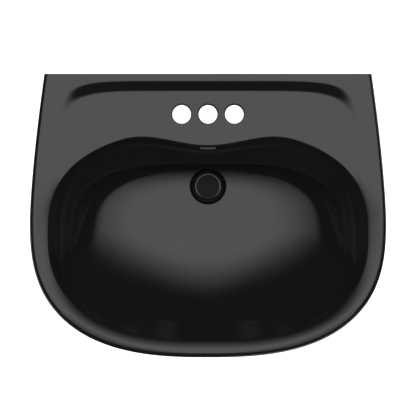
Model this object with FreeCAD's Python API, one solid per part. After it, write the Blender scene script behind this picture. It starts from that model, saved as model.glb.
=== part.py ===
"""Pedestal sink: a glazed china basin on a china pedestal, with a push-to-close drain.

Millimetres, +Z up. The origin is on the floor, under the centre of the overall box.
The user stands on the -Y side, and the wall is the plane at +Y.
"""
import FreeCAD
import Part
import math
import os

from FreeCAD import Vector

# ---- overall sizes -----------------------------------------------------------------------
WIDTH = 686.0            # across the widest part of the rim
DEPTH = 546.0            # wall to the front of the rim
RIM_Z = 850.0            # height of the rim above the floor
BACK_WIDTH = 630.0       # across the straight back edge
WALL_Y = DEPTH / 2       # the wall plane
FRONT_Y = -DEPTH / 2
HALF_WIDTH = WIDTH / 2

# ---- rim outline -------------------------------------------------------------------------
WIDEST_Y = WALL_Y - 283.0    # where the rim is widest
FRONT_FULLNESS = 2.65    # exponent of the front half's superellipse
SIDE_EASE = 1.45         # exponent of the sides' slow taper towards the wall
RIM_EDGE_R = 8.0         # rounding of the rim's outer top edge
RIM_EDGE_STEPS = 5
APRON_H = 42.0           # upright outer face of the rim
OVERRUN = 17.0           # how far loft sections pass the wall plane before they are trimmed

# ---- deck --------------------------------------------------------------------------------
CHINA_T = 12.0           # thickness of the china
LEDGE_W = 12.0           # top of the raised ledge along the wall
LEDGE_STEP_W = 14.0      # its sloping front, from ledge to deck
DECK_DROP = 9.0          # deck below the rim
DECK_Z = RIM_Z - DECK_DROP
DECK_SIDE = 20.0         # flat top of the rim beside the deck
DECK_FRONT = 12.0        # flat top of the rim at the front
DECK_SQUARENESS = 5.0    # exponent of the deck's back corners

# ---- faucet holes ------------------------------------------------------------------------
FAUCET_HOLE_D = 36.0
FAUCET_SPACING = 50.8    # 4 inch centerset: the outer holes are 101.6 apart
FAUCET_FROM_WALL = 77.5
HOLE_EDGE_R = 2.5

# ---- bowl --------------------------------------------------------------------------------
BOWL_HALF = 307.0        # half the opening's width
BOWL_Y = WALL_Y - 312.0  # where the opening is widest
BOWL_FRONT = 204.4       # from there to the front of the opening
BOWL_BACK = 203.0        # and to the back, before the dip in the middle
BOWL_DIP = 29.0          # how far the faucet shelf bulges into the opening
BOWL_DIP_HALF = 165.0
BOWL_FLOOR_DROP = 150.0  # bowl floor below the rim
FLOOR_Z = RIM_Z - BOWL_FLOOR_DROP
BOWL_LIP = 3.5           # bevel of the opening's edge

# ---- drain -------------------------------------------------------------------------------
DRAIN_FROM_WALL = 215.0
DRAIN_Y = WALL_Y - DRAIN_FROM_WALL
RECESS_GAP = 3.0         # between the drain flange and the wall of its dished seat
RECESS_H = 5.0
RECESS_TAPER = 2.0       # the seat narrows by this much on its way down
RECESS_NOTCH_H = 40.0    # the seat's wall carries on up into the back of the bowl
RECESS_DRAFT = 4.0       # and widens by this much
SEAT_Z = FLOOR_Z - RECESS_H
DRAIN_HOLE_GAP = 2.1     # round the shank
DRAIN_CHINA_H = 50.0     # china between the flange seat and the nut side
BOSS_Z = SEAT_Z - DRAIN_CHINA_H
BOSS_MARGIN = 12.0       # china round the gasket

# ---- overflow ----------------------------------------------------------------------------
SLOT_W = 38.0            # overflow slot in the back wall of the bowl
SLOT_H = 11.0
SLOT_DROP = 32.0         # slot centre below the rim
SLOT_REACH = 40.0        # how far its cut passes the china into the bowl
DUCT_W = 44.0            # water way behind the bowl
DUCT_D = 16.0
DUCT_T = 8.0             # its china wall
DUCT_GAP = 14.0          # china between the bowl and the water way
DUCT_FLOOR_H = 12.0      # height of the way under the bowl floor
DUCT_FLOOR_Z = BOSS_Z + 27.0

# ---- back and underside ------------------------------------------------------------------
SHELL_T = 9.0            # outer china of the space behind the bowl
HOLLOW_Y = WALL_Y - 213.0    # the space behind the bowl starts here
SHAFT_W = 284.0          # clear way down from the faucet holes, behind the pedestal
SHAFT_Y = WALL_Y - 98.0
PAD_TRIM = 4.0           # trimmed off to leave the pad flat
POCKET_H = 14.0          # hollow in the flat underside, inside the pedestal's ring
WALL_HOLE_D = 14.0       # for the wall's hanger bolts
WALL_HOLE_SPACING = 280.0
WALL_HOLE_DROP = 62.0    # below the rim

# ---- pedestal ----------------------------------------------------------------------------
BASIN_H = 185.0          # from the rim down to where the basin rests on the pedestal
PEDESTAL_H = RIM_Z - BASIN_H
PEDESTAL_T = 13.0
PEDESTAL_BACK_Y = WALL_Y - 116.0     # the back of the column
PAD_MARGIN = 6.0         # how far the basin's flat underside passes the pedestal
BACK_RETURN = 34.0       # width of the pedestal's returned edges at its open back
WIDEST_SHARE = 0.42      # where its outline is widest, from the back, by its own depth
BACK_SHARE = 0.86        # its width at the back, by its widest
COLUMN_FULLNESS = 2.3    # exponent of its round front
WEB_Z = 20.0             # web in the foot, for the floor bolt
WEB_T = 14.0
WEB_REACH = 28.0         # the web passes the bolt hole's centre by this much
WEB_BACK = 2.0           # and stops short of the column's back
FLOOR_HOLE_D = 13.0
FLOOR_HOLE_FROM_WALL = 160.0

# ---- drain fittings ----------------------------------------------------------------------
TAIL_D = 31.75           # 1-1/4 inch tailpiece
TAIL_T = 1.2
TAIL_L = 203.0           # 8 inch
TAIL_COLLAR_H = 16.0
TAIL_FLARE_W = 2.5       # its shoulder under the shank
TAIL_FLARE_H = 3.2
TAIL_SEAL_T = 0.8
TAIL_SEAL_W = 2.0
THREAD_GAP = 0.15        # radial gap of what screws or slides on the shank
BORE_D = TAIL_D + 3.25   # the shank's bore, with room for the tailpiece's thread
SHANK_T = 3.4
SHANK_D = BORE_D + 2 * SHANK_T
SHANK_BELOW_NUT = 10.0
WINDOW_W = 26.0          # overflow windows in the shank
WINDOW_MARGIN = 1.0      # each is lower than the water way by this much, above and below
THROAT_W = 2.5           # slope from the flange down into the bore
THROAT_H = 4.0
FLANGE_D = 64.0
FLANGE_T = 3.2
FLANGE_EDGE_H = 1.2      # its upright edge
FLANGE_SLOPE_W = 2.5
TOP_GASKET_T = 1.6
TOP_GASKET_INSET = 1.5
RECESS_D = FLANGE_D + 2 * RECESS_GAP
DRAIN_HOLE_D = SHANK_D + 2 * DRAIN_HOLE_GAP
MACK_H = 13.0            # bevelled gasket under the china
MACK_D = DRAIN_HOLE_D + 16.0
MACK_EDGE = 3.0
MACK_NECK_H = 3.0        # the gasket's neck inside the drain hole
MACK_NECK_GAP = 0.3
MACK_NECK_DRAFT = 0.8
BOSS_D = MACK_D + 2 * BOSS_MARGIN
FRICTION_T = 1.6
FRICTION_D = MACK_D - 2.0
NUT_AF = SHANK_D + 15.2  # across the locknut's flats
NUT_H = 9.0
NUT_CORNER = 5.0         # its corners stand out at most this far past its flats
NUT_CHAMFER = 3.0
NUT_FACE_CHAMFER = 1.0

# ---- stopper and its latch ---------------------------------------------------------------
CAP_D = 50.0
CAP_T = 6.0
CAP_EDGE = 1.2           # chamfer round the cap
CAP_UNDER_EDGE = 0.6
CAP_HOLLOW = 1.0         # the cap's underside above the bottom of its seal
CAP_BOSS_D = 18.0
TRAVEL = 9.0             # push stroke
CLOSED_GAP = 0.3         # left under the seal when the cap is down
SEAL_T = 3.0
SEAL_D = 44.0
SEAL_W = 4.0
SEAL_EDGE = 1.0
STEM_D = 9.0
STEM_TIP_D = 6.0
STEM_TAIL_D = 6.0
STEM_GAP = 0.1           # radial gap of what slides or screws together
TIP_END_GAP = 0.5
COLLAR_H = 2.5
COLLAR_GAP = 0.4         # between the stem's collar and the case
END_GAP = 0.2            # play above and below the latch's moving parts
BOSS_UNDER_CAP = 3.0
HOUSING_D = 20.0
HOUSING_T = 1.8
HOUSING_SINK = 6.0       # top of the case below the flange's top
ROTOR_H = 7.0
ROTOR_WALL_GAP = 1.2     # between the rotor's drum and its case, less the lugs
LUGS = 4
LUG_W = 2.4
LUG_ROOT = 1.0           # sunk into the drum
LUG_GAP = 0.2            # between a lug's tip and the case
LUG_EDGE = 1.0           # of the drum left above and below a lug
SPRING_WIRE = 1.2
SPRING_TURNS = 7
SPRING_WALL_GAP = 0.9
SPRING_END_GAP = 0.05
TAIL_NUT_H = 1.5
TAIL_NUT_GAP = 0.7       # between the retaining nut and the case
HUB_D = 17.0
HUB_H = 7.0
HUB_RISE = 13.0          # top of the spider above the bottom of the drain's china
STUD_D = 9.8
STUD_END = 2.0           # shows below the hub
ARM_W = 4.5
ARM_SINK = 1.0           # of an arm inside the hub and inside the shank

FLANGE_TOP = SEAT_Z + TOP_GASKET_T + FLANGE_T
SEAL_Z = FLANGE_TOP + TRAVEL + CLOSED_GAP
NUT_TOP = BOSS_Z - MACK_H - FRICTION_T
NUT_Z = NUT_TOP - NUT_H
SHANK_Z = NUT_Z - SHANK_BELOW_NUT
HUB_Z = BOSS_Z + HUB_RISE
HOUSING_TOP = FLANGE_TOP - HOUSING_SINK
HOUSING_BORE = HOUSING_D - 2 * HOUSING_T
LATCH_Z = HUB_Z + HOUSING_T                      # floor of the latch's chamber
COLLAR_Z = HOUSING_TOP - HOUSING_T - END_GAP - COLLAR_H
ROTOR_Z = COLLAR_Z - END_GAP - ROTOR_H
TAIL_NUT_Z = ROTOR_Z - END_GAP - TAIL_NUT_H
CAP_BOSS_Z = SEAL_Z + CAP_HOLLOW - BOSS_UNDER_CAP
FLARE_TOP = SHANK_Z - TAIL_SEAL_T
DRAIN = Vector(0, DRAIN_Y, 0)


# ---- shapes used throughout --------------------------------------------------------------
def tube(outer_d, inner_d, z_low, z_high, at=DRAIN):
    """An upright tube, or a rod where inner_d is 0."""
    base = Vector(at.x, at.y, z_low)
    body = Part.makeCylinder(outer_d / 2, z_high - z_low, base)
    if inner_d:
        body = body.cut(Part.makeCylinder(inner_d / 2, z_high - z_low, base))
    return body


def turned(profile, at=DRAIN):
    """A solid of revolution from (radius, z) corners."""
    corners = [Vector(r, 0, z) for r, z in profile]
    face = Part.Face(Part.makePolygon(corners + corners[:1]))
    body = face.revolve(Vector(0, 0, 0), Vector(0, 0, 1), 360)
    return body.translated(at)


def block(x_size, y_low, y_high, z_low, z_high):
    """A box centred on X = 0."""
    return Part.makeBox(x_size, y_high - y_low, z_high - z_low, Vector(-x_size / 2, y_low, z_low))


def power_curve(angle, half_x, half_y, power):
    """A point of a superellipse."""
    c, s = math.cos(angle), math.sin(angle)
    x = math.copysign(half_x * abs(c) ** (2 / power), c)
    y = math.copysign(half_y * abs(s) ** (2 / power), s)
    return x, y


def shield(z, half_width, half_back, widest_y, front_y, back_y, power=FRONT_FULLNESS):
    """A level outline with a straight back, easing sides and a full round front."""
    side_steps, front_steps = 3, 14
    right = []
    for i in range(side_steps):
        share = 1 - i / side_steps
        taper = (half_width - half_back) * share ** SIDE_EASE
        right.append(Vector(half_width - taper, widest_y + (back_y - widest_y) * share, z))
    front = []
    for i in range(front_steps + 1):
        x, y = power_curve(-math.pi * i / front_steps, half_width, widest_y - front_y, power)
        front.append(Vector(x, widest_y + y, z))
    left = [Vector(-p.x, p.y, z) for p in reversed(right)]
    curve = Part.BSplineCurve()
    curve.interpolate(right + front + left)
    return Part.Wire([curve.toShape(), Part.makeLine(left[-1], right[0])])


def rim_outline(z, inset=0.0, back_y=WALL_Y):
    """The rim's outline, taken in by inset on the sides and front."""
    lean = (BACK_WIDTH / 2 - HALF_WIDTH) / (WALL_Y - WIDEST_Y)
    half_back = BACK_WIDTH / 2 - inset + lean * (back_y - WALL_Y)
    return shield(z, HALF_WIDTH - inset, half_back, WIDEST_Y, FRONT_Y + inset, back_y)


def oval(z, half_x, middle_y, front, back, dip, front_power, back_power, grow=0.0, seam=0.0):
    """A closed level outline for the bowl, with a dip in the middle of its back."""
    steps = 40
    points = []
    for i in range(steps):
        angle = seam + 2 * math.pi * i / steps
        behind = math.sin(angle) > 0
        x, y = power_curve(angle, half_x + grow, (back if behind else front) + grow,
                           back_power if behind else front_power)
        if behind and abs(x) < BOWL_DIP_HALF:
            y -= dip * math.cos(math.pi * x / (2 * BOWL_DIP_HALF)) ** 2
        points.append(Vector(x, middle_y + y, z))
    curve = Part.BSplineCurve()
    curve.interpolate(Points=points, PeriodicFlag=True)
    return Part.Wire([curve.toShape()])


#               depth share, half width, middle y, front, back, dip, front and back power
BOWL_LEVELS = [(0.00, BOWL_HALF, BOWL_Y, BOWL_FRONT, BOWL_BACK, BOWL_DIP, 2.45, 2.55),
               (0.20, 290.0, BOWL_Y - 4.0, 180.0, 185.0, 20.0, 2.75, 2.65),
               (0.40, 264.0, BOWL_Y - 9.0, 155.0, 155.0, 6.0, 3.10, 2.80),
               (0.59, 238.0, BOWL_Y + 4.0, 127.0, 130.0, 0.0, 2.60, 2.70),
               (0.73, 207.0, BOWL_Y + 19.0, 107.0, 110.0, 0.0, 2.30, 2.60),
               (0.845, 158.0, DRAIN_Y - 58.0, 91.0, 86.0, 0.0, 2.15, 2.30),
               (0.935, 99.0, DRAIN_Y - 43.0, 64.0, 66.0, 0.0, 2.05, 2.10),
               (1.00, 40.0, DRAIN_Y - 13.0, 32.0, 38.0, 0.0, 2.00, 2.00)]


def bowl_space(grow=0.0):
    """The bowl's inner space, or with grow, the outside of its wall."""
    bottom = FLOOR_Z - grow
    wires = []
    if grow == 0:
        wires.append(oval(DECK_Z + 4.0, *BOWL_LEVELS[0][1:]))
    for depth, *sizes in BOWL_LEVELS:
        wires.append(oval(DECK_Z - depth * (DECK_Z - bottom), *sizes, grow))
    return Part.makeLoft(wires, True, False)


def bevelled_bowl():
    """The bowl's space together with the bevel round its opening."""
    sizes = BOWL_LEVELS[0][1:]
    reach = BOWL_LIP + 1.0
    seam = -math.pi / 2
    bevel = Part.makeLoft([oval(DECK_Z + 1.0, *sizes, reach, seam),
                           oval(DECK_Z + 1.0 - 2 * reach, *sizes, -reach, seam)], True, False)
    return bowl_space().fuse(bevel)


# ---- outlines that basin and pedestal share ------------------------------------------------
def pedestal_outline(z, half_width, depth, inset=0.0, back_y=PEDESTAL_BACK_Y):
    """A level outline of the column: straight back, round front."""
    front_y = PEDESTAL_BACK_Y - depth
    widest = back_y - WIDEST_SHARE * (back_y - front_y)
    return shield(z, half_width - inset, BACK_SHARE * half_width - inset, widest,
                  front_y + inset, back_y, COLUMN_FULLNESS)


#                  z, half width, depth
PEDESTAL_LEVELS = [(34.0, 126.0, 235.0), (70.0, 110.0, 215.0), (140.0, 94.0, 197.0),
                   (260.0, 85.0, 185.0), (400.0, 84.0, 184.0), (PEDESTAL_H - 155.0, 91.0, 195.0),
                   (PEDESTAL_H - 65.0, 105.0, 215.0), (PEDESTAL_H, 118.0, 237.0)]


def pad_outline(z, grow=PAD_MARGIN):
    """The outline where the basin sits on the pedestal."""
    _, half_width, depth = PEDESTAL_LEVELS[-1]
    return pedestal_outline(z, half_width, depth, -grow, PEDESTAL_BACK_Y + grow)


# ---- basin -------------------------------------------------------------------------------
def rim_block():
    """The upright rim with its rounded outer edge."""
    wires = [rim_outline(RIM_Z - APRON_H)]
    for i in range(RIM_EDGE_STEPS + 1):
        turn = math.pi / 2 * i / RIM_EDGE_STEPS
        wires.append(rim_outline(RIM_Z - RIM_EDGE_R * (1 - math.sin(turn)),
                                 RIM_EDGE_R * (1 - math.cos(turn))))
    return Part.makeLoft(wires, True, True)


#            below the apron, inset, back edge from the wall plane
UNDERSIDE = [(-3.0, 1.2, -OVERRUN), (10.0, 5.0, -OVERRUN), (18.0, 17.0, -OVERRUN),
             (30.0, 40.0, -OVERRUN), (43.0, 70.0, -OVERRUN), (63.0, 101.0, 10.0),
             (81.0, 131.0, 40.0), (94.0, 155.0, 64.0), (118.0, 184.0, 90.0)]


def underside():
    """Everything below the rim, from the apron's lower edge in to the flat pad."""
    top = RIM_Z - APRON_H
    wires = [rim_outline(top - drop, inset, WALL_Y - back) for drop, inset, back in UNDERSIDE]
    wires.append(pad_outline(PEDESTAL_H - PAD_TRIM))
    body = Part.makeLoft(wires, True, False)
    room = block(2 * WIDTH, -DEPTH, WALL_Y, PEDESTAL_H, RIM_Z)
    return body.common(room)


def hollow():
    """The open space behind the bowl, for the faucet's nuts and the wall bolts."""
    top = DECK_Z - CHINA_T
    back = WALL_Y - CHINA_T
    wires = [rim_outline(top, CHINA_T, back)]
    for drop, inset, _ in UNDERSIDE[1:]:
        wires.append(rim_outline(RIM_Z - APRON_H - drop + SHELL_T, inset + SHELL_T, back))
    space = Part.makeLoft(wires, True, False)
    space = space.common(block(2 * WIDTH, HOLLOW_Y, back, PEDESTAL_H, top))
    pillar = Part.Face(pad_outline(PEDESTAL_H - 60, -1.0)).extrude(Vector(0, 0, 160))
    shaft = block(SHAFT_W, SHAFT_Y, back, PEDESTAL_H - 1, top)
    space = space.fuse(shaft)
    return space.cut(bowl_space(CHINA_T)).cut(pillar).cut(overflow_duct(DUCT_T))


def deck_recess():
    """The lowered deck in front of the ledge, sloping up to the rim all round."""
    def level(z, share):
        slope = share * LEDGE_STEP_W
        half_x = HALF_WIDTH - DECK_SIDE - slope
        front = WIDEST_Y - FRONT_Y - DECK_FRONT - slope
        back = WALL_Y - LEDGE_W - WIDEST_Y - slope
        return oval(z, half_x, WIDEST_Y, front, back, 0, FRONT_FULLNESS, DECK_SQUARENESS)

    over = 2.0
    return Part.makeLoft([level(RIM_Z + over, -over / DECK_DROP), level(DECK_Z, 1.0)], True, False)


SLOT_Z = RIM_Z - SLOT_DROP
BOWL_BACK_Y = BOWL_Y + BOWL_BACK - BOWL_DIP      # middle of the opening's back edge
DUCT_Y = BOWL_BACK_Y + DUCT_GAP                  # front face of the water way


def overflow_duct(grow=0.0):
    """The water way: down behind the bowl, then forward under its floor to the drain."""
    width = DUCT_W + 2 * grow
    top = SLOT_Z + SLOT_H
    upright = block(width, DUCT_Y - grow, DUCT_Y + DUCT_D + grow, DUCT_FLOOR_Z - grow, top + grow)
    level = block(width, DRAIN_Y, DUCT_Y + DUCT_D + grow, DUCT_FLOOR_Z - grow,
                  DUCT_FLOOR_Z + DUCT_FLOOR_H + grow)
    return upright.fuse(level).removeSplitter()


def overflow_slot():
    """The slot through the back wall of the bowl, with round ends."""
    depth = DUCT_GAP + SLOT_REACH
    mid = block(SLOT_W - SLOT_H, DUCT_Y + 1 - depth, DUCT_Y + 1, SLOT_Z - SLOT_H / 2, SLOT_Z + SLOT_H / 2)
    for side in (-1, 1):
        end = Vector(side * (SLOT_W - SLOT_H) / 2, DUCT_Y + 1 - depth, SLOT_Z)
        mid = mid.fuse(Part.makeCylinder(SLOT_H / 2, depth, end, Vector(0, 1, 0)))
    return mid.removeSplitter()


def faucet_hole(x):
    """One deck hole with its rounded upper edge."""
    at = Vector(x, WALL_Y - FAUCET_FROM_WALL, 0)
    hole = tube(FAUCET_HOLE_D, 0, DECK_Z - 2 * CHINA_T, DECK_Z + 5, at)
    r = FAUCET_HOLE_D / 2
    flare = turned([(0, DECK_Z), (r + HOLE_EDGE_R, DECK_Z), (r, DECK_Z - HOLE_EDGE_R),
                    (0, DECK_Z - HOLE_EDGE_R)], at)
    return hole.fuse(flare)


def basin():
    """Rim, outer bowl and back, then everything cut out of them."""
    body = rim_block().fuse(underside()).cut(hollow())
    pocket = Part.Face(pad_outline(PEDESTAL_H - 1, -2 * PEDESTAL_T))
    pocket = pocket.extrude(Vector(0, 0, POCKET_H + 1)).cut(overflow_duct(DUCT_T))
    body = body.cut(pocket).fuse(tube(BOSS_D, 0, BOSS_Z, SEAT_Z))
    body = body.cut(deck_recess()).cut(bevelled_bowl())
    body = body.cut(overflow_duct()).cut(overflow_slot())
    r, top = RECESS_D / 2, FLOOR_Z + RECESS_NOTCH_H
    body = body.cut(turned([(0, top), (r + RECESS_DRAFT, top), (r, FLOOR_Z),
                            (r - RECESS_TAPER, SEAT_Z), (0, SEAT_Z)]))
    body = body.cut(tube(DRAIN_HOLE_D, 0, BOSS_Z - 1, FLOOR_Z))
    for i in (-1, 0, 1):
        body = body.cut(faucet_hole(i * FAUCET_SPACING))
    for side in (-1, 1):
        at = Vector(side * WALL_HOLE_SPACING / 2, WALL_Y - 2 * CHINA_T, RIM_Z - WALL_HOLE_DROP)
        body = body.cut(Part.makeCylinder(WALL_HOLE_D / 2, 3 * CHINA_T, at, Vector(0, 1, 0)))
    return body


# ---- pedestal ----------------------------------------------------------------------------
def column(inset, extra=0.0):
    """The column's outside, or with inset, its inside."""
    wires = [pedestal_outline(z, half, depth, inset) for z, half, depth in PEDESTAL_LEVELS]
    body = Part.makeLoft(wires, True, False)
    z, half, depth = PEDESTAL_LEVELS[0]
    foot = Part.Face(pedestal_outline(-extra, half, depth, inset))
    body = body.fuse(foot.extrude(Vector(0, 0, z + extra)))
    if extra:
        z, half, depth = PEDESTAL_LEVELS[-1]
        top = Part.Face(pedestal_outline(z, half, depth, inset))
        body = body.fuse(top.extrude(Vector(0, 0, extra)))
    return body


def pedestal():
    inside = column(PEDESTAL_T, 5.0)
    inside = inside.common(block(WIDTH, -DEPTH, PEDESTAL_BACK_Y - PEDESTAL_T, -9, PEDESTAL_H + 9))
    body = column(0.0).cut(inside)
    slot = column(BACK_RETURN, 5.0)
    slot = slot.common(block(WIDTH, PEDESTAL_BACK_Y - 3 * PEDESTAL_T, DEPTH, -9, PEDESTAL_H + 9))
    body = body.cut(slot)
    bolt_y = WALL_Y - FLOOR_HOLE_FROM_WALL
    web = column(PEDESTAL_T / 2)
    web = web.common(block(WIDTH, bolt_y - WEB_REACH, PEDESTAL_BACK_Y - WEB_BACK, WEB_Z,
                           WEB_Z + WEB_T))
    hole = tube(FLOOR_HOLE_D, 0, WEB_Z - 1, WEB_Z + WEB_T + 1, Vector(0, bolt_y, 0))
    return body.fuse(web).cut(hole)


# ---- drain fittings ----------------------------------------------------------------------
def drain_body():
    """Flange, threaded shank with overflow windows, and the spider that holds the latch."""
    r, bore = SHANK_D / 2, BORE_D / 2
    low = SEAT_Z + TOP_GASKET_T
    body = turned([(bore, SHANK_Z), (r, SHANK_Z), (r, low), (FLANGE_D / 2, low),
                   (FLANGE_D / 2, low + FLANGE_EDGE_H),
                   (FLANGE_D / 2 - FLANGE_SLOPE_W, FLANGE_TOP),
                   (bore + THROAT_W, FLANGE_TOP), (bore, FLANGE_TOP - THROAT_H)])
    window = block(WINDOW_W, DRAIN_Y - SHANK_D, DRAIN_Y + SHANK_D, DUCT_FLOOR_Z + WINDOW_MARGIN,
                   DUCT_FLOOR_Z + DUCT_FLOOR_H - WINDOW_MARGIN)
    body = body.cut(window)
    hub = tube(HUB_D, STUD_D + 2 * STEM_GAP, HUB_Z - HUB_H, HUB_Z)
    start = STUD_D / 2 + ARM_SINK
    for i in range(3):
        arm = Part.makeBox(bore + ARM_SINK - start, ARM_W, HUB_H,
                           Vector(start, -ARM_W / 2, HUB_Z - HUB_H))
        arm = arm.rotated(Vector(0, 0, 0), Vector(0, 0, 1), 90 + 120 * i).translated(DRAIN)
        hub = hub.fuse(arm)
    return body.fuse(hub)


def latch_housing():
    """The latch's case, screwed into the spider."""
    body = tube(HOUSING_D, HOUSING_BORE, HUB_Z + STEM_GAP, HOUSING_TOP)
    body = body.fuse(tube(HOUSING_D, 0, HUB_Z + STEM_GAP, LATCH_Z))
    body = body.fuse(tube(HOUSING_D, STEM_D + 2 * STEM_GAP, HOUSING_TOP - HOUSING_T, HOUSING_TOP))
    return body.fuse(tube(STUD_D, 0, HUB_Z - HUB_H - STUD_END, HUB_Z + STEM_GAP))


def latch_rotor():
    """The drum with lugs that steps round at each push."""
    drum = HOUSING_BORE - 2 * ROTOR_WALL_GAP
    body = tube(drum, STEM_TAIL_D + 2 * STEM_GAP, ROTOR_Z, ROTOR_Z + ROTOR_H)
    for i in range(LUGS):
        lug = Part.makeBox(LUG_ROOT + ROTOR_WALL_GAP - LUG_GAP, LUG_W, ROTOR_H - 2 * LUG_EDGE,
                           Vector(drum / 2 - LUG_ROOT, -LUG_W / 2, ROTOR_Z + LUG_EDGE))
        lug = lug.rotated(Vector(0, 0, 0), Vector(0, 0, 1), 45 + 360 / LUGS * i)
        body = body.fuse(lug.translated(DRAIN))
    return body


def latch_spring():
    """The spring that lifts the stopper."""
    low = LATCH_Z + SPRING_WIRE / 2 + SPRING_END_GAP
    high = TAIL_NUT_Z - SPRING_WIRE / 2 - SPRING_END_GAP
    radius = HOUSING_BORE / 2 - SPRING_WIRE / 2 - SPRING_WALL_GAP
    helix = Part.makeHelix((high - low) / SPRING_TURNS, high - low, radius)
    start = Part.Circle(Vector(radius, 0, 0), Vector(0, 1, 0), SPRING_WIRE / 2)
    wire = Part.Wire(helix).makePipeShell([Part.Wire([start.toShape()])], True, True)
    return wire.translated(Vector(0, DRAIN_Y, low))


def stem():
    """The plunger: tip for the cap, collar over the rotor, and a tail with its retaining nut."""
    body = tube(STEM_D, 0, COLLAR_Z, CAP_BOSS_Z)
    body = body.fuse(tube(STEM_TIP_D, 0, CAP_BOSS_Z, CAP_BOSS_Z + BOSS_UNDER_CAP))
    body = body.fuse(tube(HOUSING_BORE - 2 * COLLAR_GAP, 0, COLLAR_Z, COLLAR_Z + COLLAR_H))
    body = body.fuse(tube(STEM_TAIL_D, 0, TAIL_NUT_Z, COLLAR_Z))
    nut_d = HOUSING_BORE - 2 * TAIL_NUT_GAP
    return body.fuse(tube(nut_d, 0, TAIL_NUT_Z, TAIL_NUT_Z + TAIL_NUT_H))


def stopper_cap():
    """The round push cap, with a boss underneath that screws on the stem."""
    r, top = CAP_D / 2, SEAL_Z + CAP_T
    groove = SEAL_D / 2 - SEAL_W
    tip = STEM_TIP_D / 2 + STEM_GAP
    socket = CAP_BOSS_Z + BOSS_UNDER_CAP + TIP_END_GAP
    hollow_z, seal_top = SEAL_Z + CAP_HOLLOW, SEAL_Z + SEAL_T
    return turned([(0, socket), (tip, socket), (tip, CAP_BOSS_Z), (CAP_BOSS_D / 2, CAP_BOSS_Z),
                   (CAP_BOSS_D / 2, hollow_z), (groove, hollow_z), (groove, seal_top),
                   (r - CAP_EDGE, seal_top), (r, seal_top + CAP_UNDER_EDGE), (r, top - CAP_EDGE),
                   (r - CAP_EDGE, top), (0, top)])


def stopper_seal():
    """The rubber ring under the cap."""
    outer, inner = SEAL_D / 2, SEAL_D / 2 - SEAL_W
    return turned([(inner, SEAL_Z), (outer - SEAL_EDGE, SEAL_Z), (outer, SEAL_Z + SEAL_EDGE),
                   (outer, SEAL_Z + SEAL_T), (inner, SEAL_Z + SEAL_T)])


def flange_gasket():
    outer = FLANGE_D - 2 * TOP_GASKET_INSET
    return tube(outer, SHANK_D + 2 * THREAD_GAP, SEAT_Z, SEAT_Z + TOP_GASKET_T)


def mack_gasket():
    """Bevelled rubber gasket pressed up into the drain hole from below."""
    inner, outer = SHANK_D / 2 + THREAD_GAP, MACK_D / 2
    neck, neck_top = DRAIN_HOLE_D / 2 - MACK_NECK_GAP, BOSS_Z + MACK_NECK_H
    low = BOSS_Z - MACK_H
    return turned([(inner, low), (outer, low), (outer, BOSS_Z - MACK_EDGE),
                   (outer - MACK_EDGE, BOSS_Z), (neck, BOSS_Z), (neck - MACK_NECK_DRAFT, neck_top),
                   (inner, neck_top)])


def friction_washer():
    return tube(FRICTION_D, SHANK_D + 2 * THREAD_GAP, NUT_TOP, NUT_TOP + FRICTION_T)


def locknut():
    """Hexagon nut with a round face and chamfered corners."""
    r = NUT_AF / 2
    across = NUT_AF / math.sqrt(3)
    corners = [Vector(across * math.cos(math.radians(60 * i)), across * math.sin(math.radians(60 * i)),
                      NUT_Z) for i in range(7)]
    body = Part.Face(Part.makePolygon(corners)).extrude(Vector(0, 0, NUT_H)).translated(DRAIN)
    crown = turned([(0, NUT_Z), (r, NUT_Z), (r + NUT_CORNER, NUT_Z + NUT_CHAMFER),
                    (r + NUT_CORNER, NUT_TOP - NUT_FACE_CHAMFER), (r, NUT_TOP), (0, NUT_TOP)])
    return body.common(crown).cut(tube(SHANK_D + 2 * THREAD_GAP, 0, NUT_Z, NUT_TOP))


def tailpiece():
    """Waste tube with a threaded collar inside the shank's lower end."""
    inner = TAIL_D / 2 - TAIL_T
    top = SHANK_Z + TAIL_COLLAR_H
    low = top - TAIL_L
    collar = BORE_D / 2 - THREAD_GAP
    flare, flare_low = collar + TAIL_FLARE_W, FLARE_TOP - TAIL_FLARE_H
    return turned([(inner, low), (TAIL_D / 2, low), (TAIL_D / 2, flare_low), (flare, flare_low),
                   (flare, FLARE_TOP), (collar, FLARE_TOP), (collar, top), (inner, top)])


def tailpiece_seal():
    """Flat ring between the tailpiece's shoulder and the shank."""
    return tube(BORE_D + 2 * TAIL_SEAL_W, BORE_D, FLARE_TOP, SHANK_Z)


MAKERS = [basin, pedestal, drain_body, flange_gasket, mack_gasket, friction_washer, locknut,
          tailpiece, tailpiece_seal, latch_housing, latch_rotor, latch_spring, stem,
          stopper_cap, stopper_seal]

os.makedirs("parts", exist_ok=True)
for maker in MAKERS:
    shape = maker()
    shape.exportStep("parts/" + maker.__name__ + ".step")
    print(maker.__name__, len(shape.Solids), "solid", shape.isValid(), round(shape.Volume / 1000), "cm3")
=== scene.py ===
import math

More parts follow.
